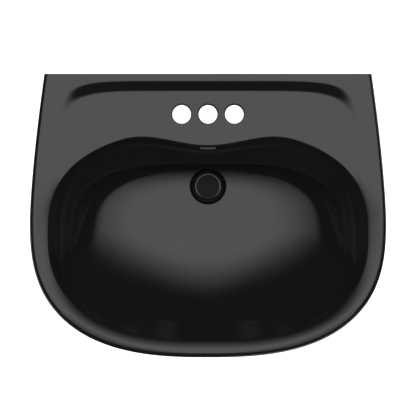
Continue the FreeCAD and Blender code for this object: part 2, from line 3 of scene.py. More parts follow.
import bmesh
import bpy
import numpy as np
from mathutils import Matrix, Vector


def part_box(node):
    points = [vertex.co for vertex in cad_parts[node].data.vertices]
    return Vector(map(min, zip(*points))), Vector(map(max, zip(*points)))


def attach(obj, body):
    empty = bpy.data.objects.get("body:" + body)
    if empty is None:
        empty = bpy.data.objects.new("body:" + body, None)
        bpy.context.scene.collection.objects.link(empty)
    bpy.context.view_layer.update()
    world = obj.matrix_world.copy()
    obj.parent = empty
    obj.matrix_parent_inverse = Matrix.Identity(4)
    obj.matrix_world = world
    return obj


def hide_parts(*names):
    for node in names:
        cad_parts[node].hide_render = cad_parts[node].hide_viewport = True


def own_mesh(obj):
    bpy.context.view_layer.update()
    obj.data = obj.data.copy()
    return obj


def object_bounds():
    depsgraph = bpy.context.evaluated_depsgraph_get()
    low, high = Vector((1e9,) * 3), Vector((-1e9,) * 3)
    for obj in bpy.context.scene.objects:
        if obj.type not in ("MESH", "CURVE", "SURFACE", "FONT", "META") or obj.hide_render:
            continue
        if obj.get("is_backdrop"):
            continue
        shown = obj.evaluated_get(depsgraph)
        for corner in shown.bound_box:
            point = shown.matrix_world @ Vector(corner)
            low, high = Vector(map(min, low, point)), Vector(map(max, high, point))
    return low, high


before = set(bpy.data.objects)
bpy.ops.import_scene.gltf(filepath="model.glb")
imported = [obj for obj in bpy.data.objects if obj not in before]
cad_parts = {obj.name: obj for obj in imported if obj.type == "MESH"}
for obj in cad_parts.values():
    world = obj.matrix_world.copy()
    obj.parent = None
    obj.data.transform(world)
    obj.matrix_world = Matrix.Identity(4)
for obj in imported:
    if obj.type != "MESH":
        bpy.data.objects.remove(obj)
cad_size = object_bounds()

# ---- Basin ---------------------------------------------------------------------------------
# Vitreous china, slip-cast in one piece with its overflow and its back wall, then sprayed with
# a black glaze and fired, which rounds every edge. Sizes are in millimetres, from the floor up.
WALL_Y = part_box("basin")[1].y * 1000
FRONT_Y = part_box("basin")[0].y * 1000
HALF_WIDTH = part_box("basin")[1].x * 1000
DRAIN_Y = (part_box("drain_body")[0].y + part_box("drain_body")[1].y) * 500
HALF_BACK = 315.0
WIDEST_Y = -10.0
FRONT_FULLNESS = 2.65
SIDE_EASE = 1.45


def curve_points(half_x, half_y, power, start, stop, count=2400):
    """Points of a superellipse about the origin, between two angles in degrees."""
    angle = np.radians(np.linspace(start, stop, count))
    c, s = np.cos(angle), np.sin(angle)
    x = half_x * np.sign(c) * np.abs(c) ** (2 / power)
    y = half_y * np.sign(s) * np.abs(s) ** (2 / power)
    return np.column_stack((x, y))


def shield(half, half_back, widest_y, front_y, back_y, power):
    """A straight-backed outline: the round front, the easing sides, then the back."""
    front = curve_points(half, widest_y - front_y, power, 180, 360) + (0, widest_y)
    share = np.linspace(0, 1, 600)
    side = np.column_stack((half - (half - half_back) * share ** SIDE_EASE,
                            widest_y + (back_y - widest_y) * share))
    back = np.column_stack((np.linspace(half_back, -half_back, 1200), np.full(1200, back_y)))
    return np.concatenate((front, side, back, side[::-1] * (-1, 1)))


# places round each level line: from the front to a back corner, and from there to mid back
FRONT_STEPS = 240
BACK_STEPS = 96


def ring(points, corner=(HALF_BACK, WALL_Y)):
    """An outline resampled by direction from the drain, with a point on each back corner."""
    turn = math.degrees(math.atan2(corner[1] - DRAIN_Y, corner[0]))
    right = np.concatenate((np.linspace(-90, turn, FRONT_STEPS, endpoint=False),
                            np.linspace(turn, 90, BACK_STEPS, endpoint=False)))
    way = np.concatenate((right, 180 - np.append(90, right[:0:-1])))
    at = (np.degrees(np.arctan2(points[:, 1] - DRAIN_Y, points[:, 0])) + 90) % 360 - 90
    order = np.argsort(at)
    reach = np.hypot(points[:, 0], points[:, 1] - DRAIN_Y)[order]
    reach = np.interp(way, at[order], reach, period=360)
    way = np.radians(way)
    return np.column_stack((reach * np.cos(way), DRAIN_Y + reach * np.sin(way)))


def rim(inset, back_y=WALL_Y):
    """The rim's outline, taken in by inset at the sides and front."""
    lean = (HALF_BACK - HALF_WIDTH) / (WALL_Y - WIDEST_Y)
    half_back = HALF_BACK - inset + lean * (back_y - WALL_Y)
    outline = shield(HALF_WIDTH - inset, half_back, WIDEST_Y, FRONT_Y + inset, back_y, FRONT_FULLNESS)
    return ring(outline, (half_back, back_y))


def lifted(flat, z):
    """A flat ring at one height, or at a height for each of its points."""
    return np.column_stack((flat, np.broadcast_to(z, len(flat))))


# outer edge: a quarter round from the apron over to the top, which eases down towards it
RIM_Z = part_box("basin")[1].z * 1000
EDGE_ROLL = 8.0
WALL_EDGE = 1.5
CROWN_WIDTH = 22.0
SIDE_CROWN = 0.7
FRONT_CROWN = 2.1


def soft_step(v):
    v = np.clip(v, 0, 1)
    return v * v * (3 - 2 * v)


def edge_gap(x, y):
    """Distance in from the rim's outer edge."""
    y = y - WIDEST_Y
    behind = np.clip(y / (WALL_Y - WIDEST_Y), 0, 1)
    side = HALF_WIDTH - (HALF_WIDTH - HALF_BACK) * behind ** SIDE_EASE - x
    ratio = (x / HALF_WIDTH) ** FRONT_FULLNESS + (np.abs(y) / (WIDEST_Y - FRONT_Y)) ** FRONT_FULLNESS
    front = (ratio ** (-1 / FRONT_FULLNESS) - 1) * np.hypot(x, y)
    return np.where(y > 0, side, front)


def in_front(y):
    """Nought behind the middle of the bowl, and one at its front."""
    return soft_step((-y - 60) / 150)


def crown(x, y, edge):
    """How far the rim's top eases down towards its outer edge."""
    drop = SIDE_CROWN + (FRONT_CROWN - SIDE_CROWN) * in_front(y)
    return drop * np.clip(1 - edge / CROWN_WIDTH, 0, 1) ** 2


rings = []
for turn in np.radians(np.linspace(0, 90, 12)):
    over, up = 1 - math.cos(turn), math.sin(turn)
    flat = rim(EDGE_ROLL * over, WALL_Y - WALL_EDGE * over)
    x, y = np.abs(flat[:, 0]), flat[:, 1]
    rings.append(lifted(flat, RIM_Z - EDGE_ROLL * (1 - up) - crown(x, y, edge_gap(x, y))))

# the bowl's level lines, each with its half width, middle, reach to the front and to the back,
# how far the faucet shelf bulges in, and how full its front and its back are
OPENING = (307, -39, 204.4, 203, 29, 2.45, 2.55)
MIDWAY = (290, -43, 180, 191, 20, 2.75, 2.65)
CREASE = (265, -49, 156, 155, 6, 3.3, 2.9)
FOOT = (206, -24, 119, 113, 0, 2.3, 2.6)
BULGE_REACH = 165.0


def bulge(x, depth):
    """How far the faucet shelf stands into the bowl, at a distance from the middle."""
    return depth * np.cos(np.pi * np.clip(x / BULGE_REACH, 0, 1) / 2) ** 2


def oval(half_x, middle_y, front, back, dip, front_power, back_power, grow=0.0):
    """A level line of the bowl."""
    behind = curve_points(half_x + grow, back + grow, back_power, 0, 180)
    behind[:, 1] -= bulge(np.abs(behind[:, 0]), dip)
    ahead = curve_points(half_x + grow, front + grow, front_power, 180, 360)
    return ring(np.concatenate((behind, ahead)) + (0, middle_y))


def opening_gap(x, y):
    """Distance out from the edge of the bowl's opening."""
    half_x, middle_y, front, back, dip, front_power, back_power = OPENING
    y = y - middle_y
    y = np.where(y > 0, y + bulge(x, dip), y)
    depth, power = np.where(y > 0, back, front), np.where(y > 0, back_power, front_power)
    ratio = ((x / half_x) ** power + (np.abs(y) / depth) ** power) ** (1 / power)
    return (1 - 1 / ratio) * np.hypot(x, y)


# how the rim falls away towards the bowl, from the slope at each distance out from it
GAP = np.linspace(0, 36, 145)


def fall(slope):
    """Height lost between each place in GAP and the rim's crest."""
    return np.cumsum(slope[::-1])[::-1] * (GAP[1] - GAP[0])


FRONT_FALL = fall((0.615 - 0.0118 * GAP) * soft_step((21 - GAP) / 4))
SIDE_FALL = fall((0.272 + 0.08 * soft_step((12 - GAP) / 12)) * soft_step((33 - GAP) / 5))

# the ledge along the wall: it ends on a squarish line, where it steps down to the deck
LEDGE_HALF_X = 298.0
LEDGE_REACH = 260.0
LEDGE_POWER = 7
LEDGE_STEP = 0.0846
DECK_DROP = 9.0
DECK_TILT = 0.025
BEAD = 1.4
BEAD_WIDTH = 34.0
TROUGH = 0.7


def top_height(flat):
    """The rim and deck: a ledge along the wall steps down to the deck, and the deck eases up
    into the sides and front, which fall away towards the bowl."""
    x, y = np.abs(flat[:, 0]), flat[:, 1]
    edge, gap = edge_gap(x, y), np.clip(opening_gap(x, y), 0, None)
    ahead = in_front(y)
    side = soft_step((x - 223) / 88)
    along, back = x / LEDGE_HALF_X, np.clip(y - WIDEST_Y, 0, None) / LEDGE_REACH
    fold = (along ** LEDGE_POWER + back ** LEDGE_POWER) ** (1 / LEDGE_POWER)
    ledge = soft_step((fold - 1 + LEDGE_STEP / 2) / LEDGE_STEP)
    deck = (1 - ledge) * (1 - side) * (1 - soft_step((60 - y) / 120))
    trough = TROUGH * np.exp(-((fold - 0.945) / 0.022) ** 2) + DECK_TILT * np.clip(235 - y, 0, 100)
    bead = BEAD * soft_step((BEAD_WIDTH - gap) / BEAD_WIDTH)
    beside = (1 - ahead) * soft_step((110 - y) / 130)
    inward = ahead * np.interp(gap, GAP, FRONT_FALL) + beside * np.interp(gap, GAP, SIDE_FALL)
    return RIM_Z - deck * (DECK_DROP + trough - bead) - crown(x, y, edge) - inward * (1 - deck)


# rim and deck, in to the lip of the bowl, which is rounder at the front
BACK_LIP = 6.0
FRONT_LIP = 12.0
opening = oval(*OPENING)
outward = opening - (0, DRAIN_Y)
outward = outward / np.hypot(outward[:, 0], outward[:, 1])[:, None]
ahead = soft_step((-opening[:, 1] - 40) / 150)
lip = BACK_LIP + (FRONT_LIP - BACK_LIP) * ahead
lip_start = opening + outward * (0.35 * lip * (1 - ahead))[:, None]
crest = rings[-1][:, :2]
for share in np.linspace(0, 1, 80)[1:] ** 1.25:
    flat = crest + (lip_start - crest) * share
    rings.append(lifted(flat, top_height(flat)))

# dished floor: ovals that rise about its lowest part, more at the front corners, on a lean
# that takes the water to the drain
DISH_Y = -18.0
DISH_HALF_X = 197.5
DISH_HALF_Y = 98.7
DISH_DEPTH = 145.5
DISH_SLOPE = 0.347
DISH_LEAN = 0.1405
SIDE_CURL, FRONT_CURL, BACK_CURL = 2.05, 1.9, 2.7
CORNER_LIFT = 8.6


def dish(flat):
    """Height of the bowl's floor at each place."""
    x, y = np.abs(flat[:, 0]) / DISH_HALF_X, (flat[:, 1] - DISH_Y) / DISH_HALF_Y
    curl = np.where(y > 0, BACK_CURL, FRONT_CURL)
    sides, ends = DISH_HALF_X * x ** SIDE_CURL / SIDE_CURL, DISH_HALF_Y * np.abs(y) ** curl / curl
    corner = (x * np.clip(y, None, 0)) ** 2
    level = RIM_Z - DISH_DEPTH + DISH_SLOPE * (sides + ends) - DISH_LEAN * DISH_HALF_Y * y
    return level + CORNER_LIFT * corner / (1 + corner)


def outward_of(flat):
    """Directions away from the drain."""
    away = flat - (0, DRAIN_Y)
    return away / np.hypot(away[:, 0], away[:, 1])[:, None]


def at_least(flat, radius):
    """A ring kept clear of the drain's recess."""
    reach = np.hypot(*(flat - (0, DRAIN_Y)).T)
    blend = np.clip(1 - np.abs(reach - radius) / 10, 0, 1)
    return (0, DRAIN_Y) + outward_of(flat) * (np.maximum(reach, radius) + blend ** 2 * 2.5)[:, None]


# fine crease where the wall meets the floor: level, but never below the dish
CREASE_DROP = 65.0
crease = at_least(oval(*CREASE), 41)
over = dish(crease) - (RIM_Z - CREASE_DROP)
crease_z = RIM_Z - CREASE_DROP + (over + np.sqrt(over ** 2 + 36)) / 2

# lip, which rolls over until it runs straight on into the wall
midway = oval(*MIDWAY)
start_z = rings[-1][:, 2]
start_slope = np.arctan2(rings[-2][:, 2] - start_z, np.hypot(*(rings[-2] - rings[-1])[:, :2].T))
slope = np.full(len(opening), 1.0)
for _ in range(6):
    end = lip_start - outward * (lip * (np.sin(slope) - np.sin(start_slope)))[:, None]
    end_z = start_z - lip * (np.cos(start_slope) - np.cos(slope))
    midway_z = (crease_z + end_z) / 2
    slope = np.arctan2(end_z - midway_z, np.hypot(*(end - midway).T))
for share in np.linspace(0, 1, 13)[1:]:
    turn = start_slope + (slope - start_slope) * share
    flat = lip_start - outward * (lip * (np.sin(turn) - np.sin(start_slope)))[:, None]
    rings.append(lifted(flat, start_z - lip * (np.cos(start_slope) - np.cos(turn))))


def through(keys, steps):
    """Rings that run smoothly through the key rings."""
    k = np.array(keys)
    k = np.concatenate((2 * k[:1] - k[1:2], k, 2 * k[-1:] - k[-2:-1]))
    rings = []
    for a, b, c, d in zip(k, k[1:], k[2:], k[3:]):
        for s in np.arange(steps) / steps:
            rings.append(0.5 * (2 * b + (c - a) * s + (2 * a - 5 * b + 4 * c - d) * s ** 2
                                + (3 * b - a - 3 * c + d) * s ** 3))
    return rings + [keys[-1]]


# wall down to the crease, then the floor down to the drain's recess
CREASE_SHELF = 0.06
CREASE_STEP = 0.035
foot = at_least(oval(*FOOT), 38)
wall = through([rings[-2], rings[-1], lifted(midway, midway_z), lifted(crease, crease_z)], 12)
rings += wall[13:]
crease = crease - outward_of(crease) * CREASE_SHELF
crease_z = crease_z - CREASE_STEP
rise = crease_z - dish(crease)
for share in np.linspace(0, 1, 30):
    flat = crease + (foot - crease) * share
    rings.append(lifted(flat, dish(flat) + rise * (1 - share) ** 3.2))


def circle(radius):
    return ring(curve_points(radius, radius, 2, 0, 360) + (0, DRAIN_Y))


# recess for the flange with a soft edge, its seat, the drain hole, and the boss under it
SEAT_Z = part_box("flange_gasket")[0].z * 1000
PAD_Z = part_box("pedestal")[1].z * 1000
BOSS_Z = SEAT_Z - 50
BOSS_R = 42.0
HOLE_R = 23.0
RECESS_R = 30.6
recess = circle(RECESS_R + 6)
for share in np.linspace(0, 1, 48)[1:]:
    flat = foot + (recess - foot) * share
    rings.append(lifted(flat, dish(flat)))
for past, drop in ((5.6, 0.15), (5.2, 0.5), (4.6, 1.2)):
    rings.append(lifted(circle(RECESS_R + past), dish(recess) - drop))
for past, up in ((3.5, 2.4), (2.6, 1.8), (1.6, 1.2), (0.6, 0.5), (0, 0)):
    rings.append(lifted(circle(RECESS_R + past), SEAT_Z + up))
for r, z in ((HOLE_R + 1, SEAT_Z), (HOLE_R + 0.3, SEAT_Z - 0.3), (HOLE_R, SEAT_Z - 1), (HOLE_R, BOSS_Z + 1),
             (HOLE_R + 1, BOSS_Z), (BOSS_R, BOSS_Z), (BOSS_R + 1, BOSS_Z + 1), (BOSS_R + 1, PAD_Z + 13),
             (BOSS_R + 2, PAD_Z + 14)):
    rings.append(lifted(circle(r), z))

# underside: a pocket in the flat pad on the pedestal, then the outer wall up to the apron, given
# as its drop from the apron, how far in from the rim it is, and how far its back is off the wall
APRON_Z = RIM_Z - 42
COLUMN_TOP = (118.0, -80.0, 157.0)
BACK_SHARE = 0.86
UNDERSIDE = [(115, 184, 90), (93.5, 155, 64), (78.5, 131, 40), (61, 101, 10), (44, 70, 0), (28.5, 40, 0),
             (17, 16, 0), (10, 5, 0)]


def column(half, front_y, back_y, grow=0.0):
    """The pedestal's outline."""
    widest = back_y - 0.42 * (back_y - front_y)
    return shield(half + grow, BACK_SHARE * half + grow, widest, front_y - grow, back_y + grow, 2.3)


def pad(grow):
    half, front_y, back_y = COLUMN_TOP
    return ring(column(half, front_y, back_y, grow), (BACK_SHARE * half + grow, back_y + grow))


for grow, z in ((-28, PAD_Z + 14), (-26, PAD_Z + 12), (-26, PAD_Z), (5, PAD_Z)):
    rings.append(lifted(pad(grow), z))
keys = [lifted(pad(6), PAD_Z + 0.5)]
for drop, inset, back in UNDERSIDE:
    keys.append(lifted(rim(inset, WALL_Y - back), APRON_Z - drop))
keys += [lifted(rings[0][:, :2], APRON_Z + up) for up in (0, 14)]
rings += through(keys, 5)
for layer in rings:
    layer[:, 1] = np.minimum(layer[:, 1], WALL_Y)


def solid(name, rings, closed=False, capped=True):
    """A mesh from stacked rings, joined end to end where closed, or capped, or left open."""
    count = len(rings[0])
    points = np.concatenate(rings) * 0.001
    faces = []
    for i in range(len(rings) if closed else len(rings) - 1):
        a, b = i * count, (i + 1) % len(rings) * count
        for j in range(count):
            k = (j + 1) % count
            faces.append((a + j, a + k, b + k, b + j))
    if capped and not closed:
        last = (len(rings) - 1) * count
        faces.append(tuple(range(count - 1, -1, -1)))
        faces.append(tuple(range(last, last + count)))
    mesh = bpy.data.meshes.new(name)
    mesh.from_pydata(points.tolist(), [], faces)
    piece = bpy.data.objects.new(name, mesh)
    bpy.context.scene.collection.objects.link(piece)
    bm = bmesh.new()
    bm.from_mesh(mesh)
    bmesh.ops.recalc_face_normals(bm, faces=bm.faces)
    bm.to_mesh(mesh)
    bm.free()
    return piece


basin = solid("basin_china", rings, closed=True)


def settle(piece, kind, **settings):
    """Gives a piece one modifier and makes its result the piece's own mesh."""
    change = piece.modifiers.new("change", kind)
    for key, value in settings.items():
        setattr(change, key, value)
    bpy.context.view_layer.update()
    result = bpy.data.meshes.new_from_object(piece.evaluated_get(bpy.context.evaluated_depsgraph_get()))
    piece.modifiers.clear()
    piece.data = result


def combine(piece, other, operation="DIFFERENCE"):
    """Cuts other from piece, or joins them, and does away with other."""
    settle(piece, "BOOLEAN", object=other, operation=operation, solver="MANIFOLD")
    bpy.data.objects.remove(other)


def block(x_low, x_high, y_low, y_high, z_low, z_high):
    corners = np.array([(x_low, y_low), (x_high, y_low), (x_high, y_high), (x_low, y_high)], float)
    return solid("block", [lifted(corners, z_low), lifted(corners, z_high)])


# hollow behind the bowl, open below, with a clear shaft under the faucet holes; the china round
# it is as thick as CHINA, and the bowl's shell, the pedestal's pad and the water way stay solid
CHINA = 12.0
CEILING_Z = RIM_Z - 21
BELOW_Z = 600
INNER_BACK = WALL_Y - CHINA
layers = [lifted(rim(CHINA, INNER_BACK), CEILING_Z)]
for drop, inset, back in UNDERSIDE[::-1]:
    layers.append(lifted(rim(inset + 9, INNER_BACK), APRON_Z - drop + 9))
hollow = solid("hollow", layers)
combine(hollow, block(-400, 400, 60, 300, BELOW_Z, 900), "INTERSECT")
combine(hollow, block(-142, 142, 175, INNER_BACK, BELOW_Z, CEILING_Z), "UNION")
shell = [lifted(oval(*OPENING, CHINA), z) for z in (RIM_Z + 10, CEILING_Z)]
shell.append(lifted(oval(290, -43, 180, 185, 20, 2.75, 2.65, CHINA), RIM_Z - 49))
shell.append(lifted(oval(264, -48, 155, 155, 6, 3.1, 2.8, CHINA), RIM_Z - 77))
shell.append(lifted(oval(236, -35, 127, 130, 0, 2.6, 2.7, CHINA), RIM_Z - 104))
shell += [lifted(oval(206, -20, 107, 110, 0, 2.3, 2.6, CHINA), z) for z in (RIM_Z - 126, 590)]
combine(hollow, solid("shell", shell))
combine(hollow, solid("pillar", [lifted(pad(-1), BELOW_Z), lifted(pad(-1), PAD_Z + 100)]))
combine(hollow, block(-30, 30, 141, 173, 590, RIM_Z - 10))
combine(basin, hollow)

# overflow: a slot in the back of the bowl, and the water way down behind it to the drain
WAY_HALF = 22.0
WAY_FLOOR = PAD_Z + 7
combine(basin, block(-30, 30, 60, 160, PAD_Z, PAD_Z + 27), "UNION")
way_down = block(-WAY_HALF, WAY_HALF, 149, 165, WAY_FLOOR, CEILING_Z)
combine(way_down, block(-WAY_HALF, WAY_HALF, DRAIN_Y, 160, WAY_FLOOR, WAY_FLOOR + 12), "UNION")
combine(basin, way_down)
SLOT_Z = RIM_Z - 32
SLOT_HALF = 13.5
SLOT_R = 5.5
ends = [(side * SLOT_HALF + SLOT_R * math.cos(math.radians(turn)), SLOT_R * math.sin(math.radians(turn)))
        for side, first in ((1, -90), (-1, 90)) for turn in range(first, first + 181, 10)]
ends = np.array(ends)
layers = []
for y, flare in ((90, 1.45), (124.5, 1.45), (126.5, 1.22), (129, 1.06), (132, 1.0), (151, 1.0)):
    layers.append(np.column_stack((ends[:, 0] * (1 + (flare - 1) / 3), np.full(len(ends), y),
                                   SLOT_Z + ends[:, 1] * flare)))
combine(basin, solid("slot", layers))


def turned(name, profile, at=(0, DRAIN_Y), steps=96):
    """A turned piece from (radius, z) corners: a closed loop, or from axis to axis."""
    way = np.linspace(0, 2 * np.pi, steps, endpoint=False)
    rings = [np.column_stack((at[0] + r * np.cos(way), at[1] + r * np.sin(way), np.full(steps, z)))
             for r, z in profile if r > 0]
    return solid(name, rings, closed=all(r > 0 for r, z in profile))


def arc(r, z, radius, start, stop, steps=6):
    """Corners of a profile along an arc, angles in degrees."""
    way = [math.radians(start + (stop - start) * i / steps) for i in range(steps + 1)]
    return [(r + radius * math.cos(a), z + radius * math.sin(a)) for a in way]


# three faucet holes on 4 inch centres with rounded lips, and two holes for the wall's bolts
FAUCET_Y = 195.5
FAUCET_R = 18.0
FAUCET_LIP = 2.5
for x in (-50.8, 0, 50.8):
    deck_z = top_height(np.array([(x, FAUCET_Y)]))[0]
    profile = [(0, RIM_Z - 60), (FAUCET_R, RIM_Z - 60)]
    profile += arc(FAUCET_R + FAUCET_LIP, deck_z - FAUCET_LIP, FAUCET_LIP, 180, 97, 7)
    profile += [(FAUCET_R + 3, deck_z + 1.5), (0, deck_z + 1.5)]
    combine(basin, turned("hole", profile, (x, FAUCET_Y)))
BOLT_R = 7.0
BOLT_Z = RIM_Z - 62
for x in (-140, 140):
    hole = turned("hole", [(0, 255), (BOLT_R, 255), (BOLT_R, 280), (0, 280)], (0, 0), 32)
    to_wall = Matrix.Rotation(math.radians(-90), 4, "X")
    hole.data.transform(Matrix.Translation((x * 0.001, 0, BOLT_Z * 0.001)) @ to_wall)
    combine(basin, hole)


def shade(piece, sharp=35):
    """Smooth, except at edges sharper than an angle in degrees."""
    bm = bmesh.new()
    bm.from_mesh(piece.data)
    for face in bm.faces:
        face.smooth = True
    for edge in bm.edges:
        edge.smooth = len(edge.link_faces) == 2 and edge.calc_face_angle() < math.radians(sharp)
    bm.to_mesh(piece.data)
    bm.free()


shade(basin)


def linear(code):
    """sRGB hex to linear RGB with full alpha."""
    parts = [int(code[i:i + 2], 16) / 255 for i in (1, 3, 5)]
    return [c / 12.92 if c <= 0.04045 else ((c + 0.055) / 1.055) ** 2.4 for c in parts] + [1.0]


def cells(size):
    """The scale that gives a pattern cells of a size in millimetres."""
    return 1000 / size


def add(tree, kind, links=(), **settings):
    """Adds a node with its settings; links are (its input, source node, source output)."""
    node = tree.nodes.new(kind)
    for key, value in settings.items():
        if hasattr(node, key):
            setattr(node, key, value)
        else:
            node.inputs[key.replace("_", " ")].default_value = value
    for socket, source, output in links:
        tree.links.new(source.outputs[output], node.inputs[socket])
    return node


def surface(name, **settings):
    """A material with one shader, its constant values set on the shader itself."""
    material = bpy.data.materials.new(name)
    material.use_nodes = True
    shader = material.node_tree.nodes["Principled BSDF"]
    for key, value in settings.items():
        shader.inputs[key.replace("_", " ")].default_value = value
    return material, material.node_tree, shader


# Fired black glaze: glass-smooth, so it mirrors the light, with a faint wave 45 mm long in it.
# It is darkest where it pooled thick, in patches of about 110 mm.
black_glaze, tree, shader = surface("black_glaze_on_vitreous_china", IOR=1.5)
place = add(tree, "ShaderNodeTexCoord")
pooling = add(tree, "ShaderNodeTexNoise", [("Vector", place, "Object")], Scale=cells(111), Detail=3.0)
colour = add(tree, "ShaderNodeMixRGB", [("Fac", pooling, "Fac")],
             Color1=linear("#151516"), Color2=linear("#191919"))
gloss = add(tree, "ShaderNodeMapRange", [("Value", pooling, "Fac")], To_Min=0.06, To_Max=0.12)
wave = add(tree, "ShaderNodeTexNoise", [("Vector", place, "Object")], Scale=cells(45.5), Detail=2.0)
peel = add(tree, "ShaderNodeBump", [("Height", wave, "Fac")], Strength=0.25, Distance=0.0004)
tree.links.new(colour.outputs["Color"], shader.inputs["Base Color"])
tree.links.new(gloss.outputs["Result"], shader.inputs["Roughness"])
tree.links.new(peel.outputs["Normal"], shader.inputs["Normal"])


def place_piece(piece, body, slot, material, *nodes):
    """Gives a finished piece its material and body, and hides the nodes it stands for. The slot is not used."""
    piece.data.materials.clear()
    piece.data.materials.append(material)
    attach(piece, body)
    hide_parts(*nodes)


place_piece(basin, "sink", "glaze", black_glaze, "basin")

# ---- Pedestal ------------------------------------------------------------------------------
# A hollow column of the same china and glaze, slip-cast in one piece and open at the back, so
# that the waste and the floor bolt can be reached. The basin rests on its top edge.
FOOT_HALF = 126.0
FOOT_FRONT = -78.0
# levels up the column, each with its height, half width and front
COLUMN = [(0, FOOT_HALF, FOOT_FRONT), (20, FOOT_HALF, FOOT_FRONT), (34, FOOT_HALF, FOOT_FRONT),
          (70, 110, -58), (140, 94, -40), (260, 85, -28), (400, 84, -27), (510, 91, -38),
          (600, 105, -58), (PAD_Z, *COLUMN_TOP[:2])]
COLUMN_BACK = COLUMN_TOP[2]
COLUMN_WALL = 13.0
BACK_RETURN = 34.0
SOFT_EDGE = 3.0


def even(line, count):
    """Evenly spaced points along a line, without its last one."""
    line = np.array(line)
    along = np.append(0, np.cumsum(np.hypot(*np.diff(line, axis=0).T)))
    places = np.linspace(0, along[-1], count, endpoint=False)
    return np.column_stack([np.interp(places, along, line[:, i]) for i in (0, 1)])


def wall_plan(half, front_y, shrink):
    """The column's wall seen from above: round the outside, in at the back, round the inside."""
    outside = column(half, front_y, COLUMN_BACK)[1200:3000]
    inside = column(half, front_y, COLUMN_BACK, -COLUMN_WALL)[3000 - 1:1200 - 1:-1]
    slot = BACK_SHARE * half - BACK_RETURN
    inner_back = COLUMN_BACK - COLUMN_WALL
    lines = [(outside, 110), ((outside[-1], (slot, COLUMN_BACK)), 12),
             (((slot, COLUMN_BACK), (slot, inner_back)), 6),
             (((slot, inner_back), inside[0]), 8), (inside, 100)]
    right = np.concatenate([even(line, count) for line, count in lines])
    plan = np.concatenate((right, [(0, front_y + COLUMN_WALL)], right[:0:-1] * (-1, 1)))
    for _ in range(5):
        plan = (np.roll(plan, 1, 0) + 2 * plan + np.roll(plan, -1, 0)) / 4
    along = np.roll(plan, -1, 0) - np.roll(plan, 1, 0)
    inward = np.column_stack((-along[:, 1], along[:, 0])) / np.hypot(*along.T)[:, None]
    return plan + inward * shrink


sizes = np.array(through([np.array(level, float) for level in COLUMN], 16))
edge = SOFT_EDGE * (1 - np.cos(np.radians(np.linspace(0, 90, 5))))
rings = []
for z in np.concatenate((edge, np.arange(10, PAD_Z - 5, 9), PAD_Z - edge[::-1])):
    half, front_y = (np.interp(z, sizes[:, 0], sizes[:, i]) for i in (1, 2))
    past = max(0, SOFT_EDGE - min(z, PAD_Z - z))
    shrink = SOFT_EDGE - math.sqrt(SOFT_EDGE ** 2 - past ** 2)
    rings.append(lifted(wall_plan(half, front_y, shrink), z))
pedestal = solid("pedestal_china", rings)

# web in the foot, with the floor bolt's hole
WEB_LOW = 20
WEB_HIGH = 34
FLOOR_BOLT_R = 6.5
FLOOR_BOLT_Y = 113
web_plan = even(column(FOOT_HALF, FOOT_FRONT, COLUMN_BACK, -COLUMN_WALL / 2), 200)
web = solid("web", [lifted(web_plan, z) for z in (WEB_LOW, WEB_HIGH)])
combine(web, block(-200, 200, 85, 155, 0, 60), "INTERSECT")
combine(pedestal, web, "UNION")
profile = [(0, 10), (FLOOR_BOLT_R, 10), (FLOOR_BOLT_R, WEB_HIGH - 1), (FLOOR_BOLT_R + 1, WEB_HIGH + 0.2),
           (FLOOR_BOLT_R + 1, 40), (0, 40)]
combine(pedestal, turned("hole", profile, (0, FLOOR_BOLT_Y), 32))
shade(pedestal)
place_piece(pedestal, "sink", "glaze", black_glaze, "pedestal")


# ---- Drain body ----------------------------------------------------------------------------
# Turned brass with a fine matte black coat: the flange that sits in the bowl's recess, the
# threaded shank with two overflow windows, and a cast spider that holds the latch.
def heights(node):
    low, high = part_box(node)
    return low.z * 1000, high.z * 1000


SHANK_Z, FLANGE_TOP = heights("drain_body")
FLANGE_R = 32.0
SHANK_R = 20.9
BORE_R = 17.5
THREAD_PITCH = 2.2


def cut_thread(piece, radius, low, high, depth=0.8):
    """Sinks a helical thread into an upright wall of a turned piece."""
    for vertex in piece.data.vertices:
        x, y, z = vertex.co * 1000
        y -= DRAIN_Y
        if low <= z <= high and abs(math.hypot(x, y) - radius) < 0.01:
            phase = (z / THREAD_PITCH + math.atan2(y, x) / (2 * math.pi)) % 1
            fade = min(1, (z - low) / THREAD_PITCH, (high - z) / THREAD_PITCH)
            shrink = 1 - depth * fade * (1 - abs(2 * phase - 1)) / radius
            vertex.co.x = x * shrink * 0.001
            vertex.co.y = (DRAIN_Y + y * shrink) * 0.001


def upright(radius, low, high):
    """Corners up a wall, close enough together to carry a thread."""
    return [(radius, z) for z in np.arange(low, high, THREAD_PITCH / 8)]


under = FLANGE_TOP - 3.2
profile = [(BORE_R + 0.5, SHANK_Z), (SHANK_R - 0.8, SHANK_Z)] + upright(SHANK_R, SHANK_Z + 0.8, BOSS_Z + 22)
profile += [(SHANK_R, under - 0.6), (SHANK_R + 0.6, under), (FLANGE_R - 0.6, under)]
profile += arc(FLANGE_R - 0.8, under + 0.8, 0.8, -60, 30, 4)
profile += arc(FLANGE_R - 2.4, FLANGE_TOP - 1.6, 1.6, 40, 90, 5)
profile += [(FLANGE_R - 4, FLANGE_TOP - 0.3), (BORE_R + 7, FLANGE_TOP - 1.3)]
profile += arc(BORE_R + 3.5, FLANGE_TOP - 5.8, 3.5, 76, 180, 8)
profile += [(BORE_R, FLANGE_TOP - 8), (BORE_R, SHANK_Z + 0.5)]
drain = turned("drain_brass", profile, steps=128)
cut_thread(drain, SHANK_R, SHANK_Z + 0.8, BOSS_Z + 20)

# overflow windows, in line with the water way in the china
WINDOW_HALF = 13
combine(drain, block(-WINDOW_HALF, WINDOW_HALF, DRAIN_Y - 30, DRAIN_Y + 30, PAD_Z + 8, PAD_Z + 18))


def swing(piece, degrees):
    """Turns a piece about the upright axis, and moves it to the drain's centre."""
    to_drain = Matrix.Translation((0, DRAIN_Y * 0.001, 0))
    piece.data.transform(to_drain @ Matrix.Rotation(math.radians(degrees), 4, "Z"))


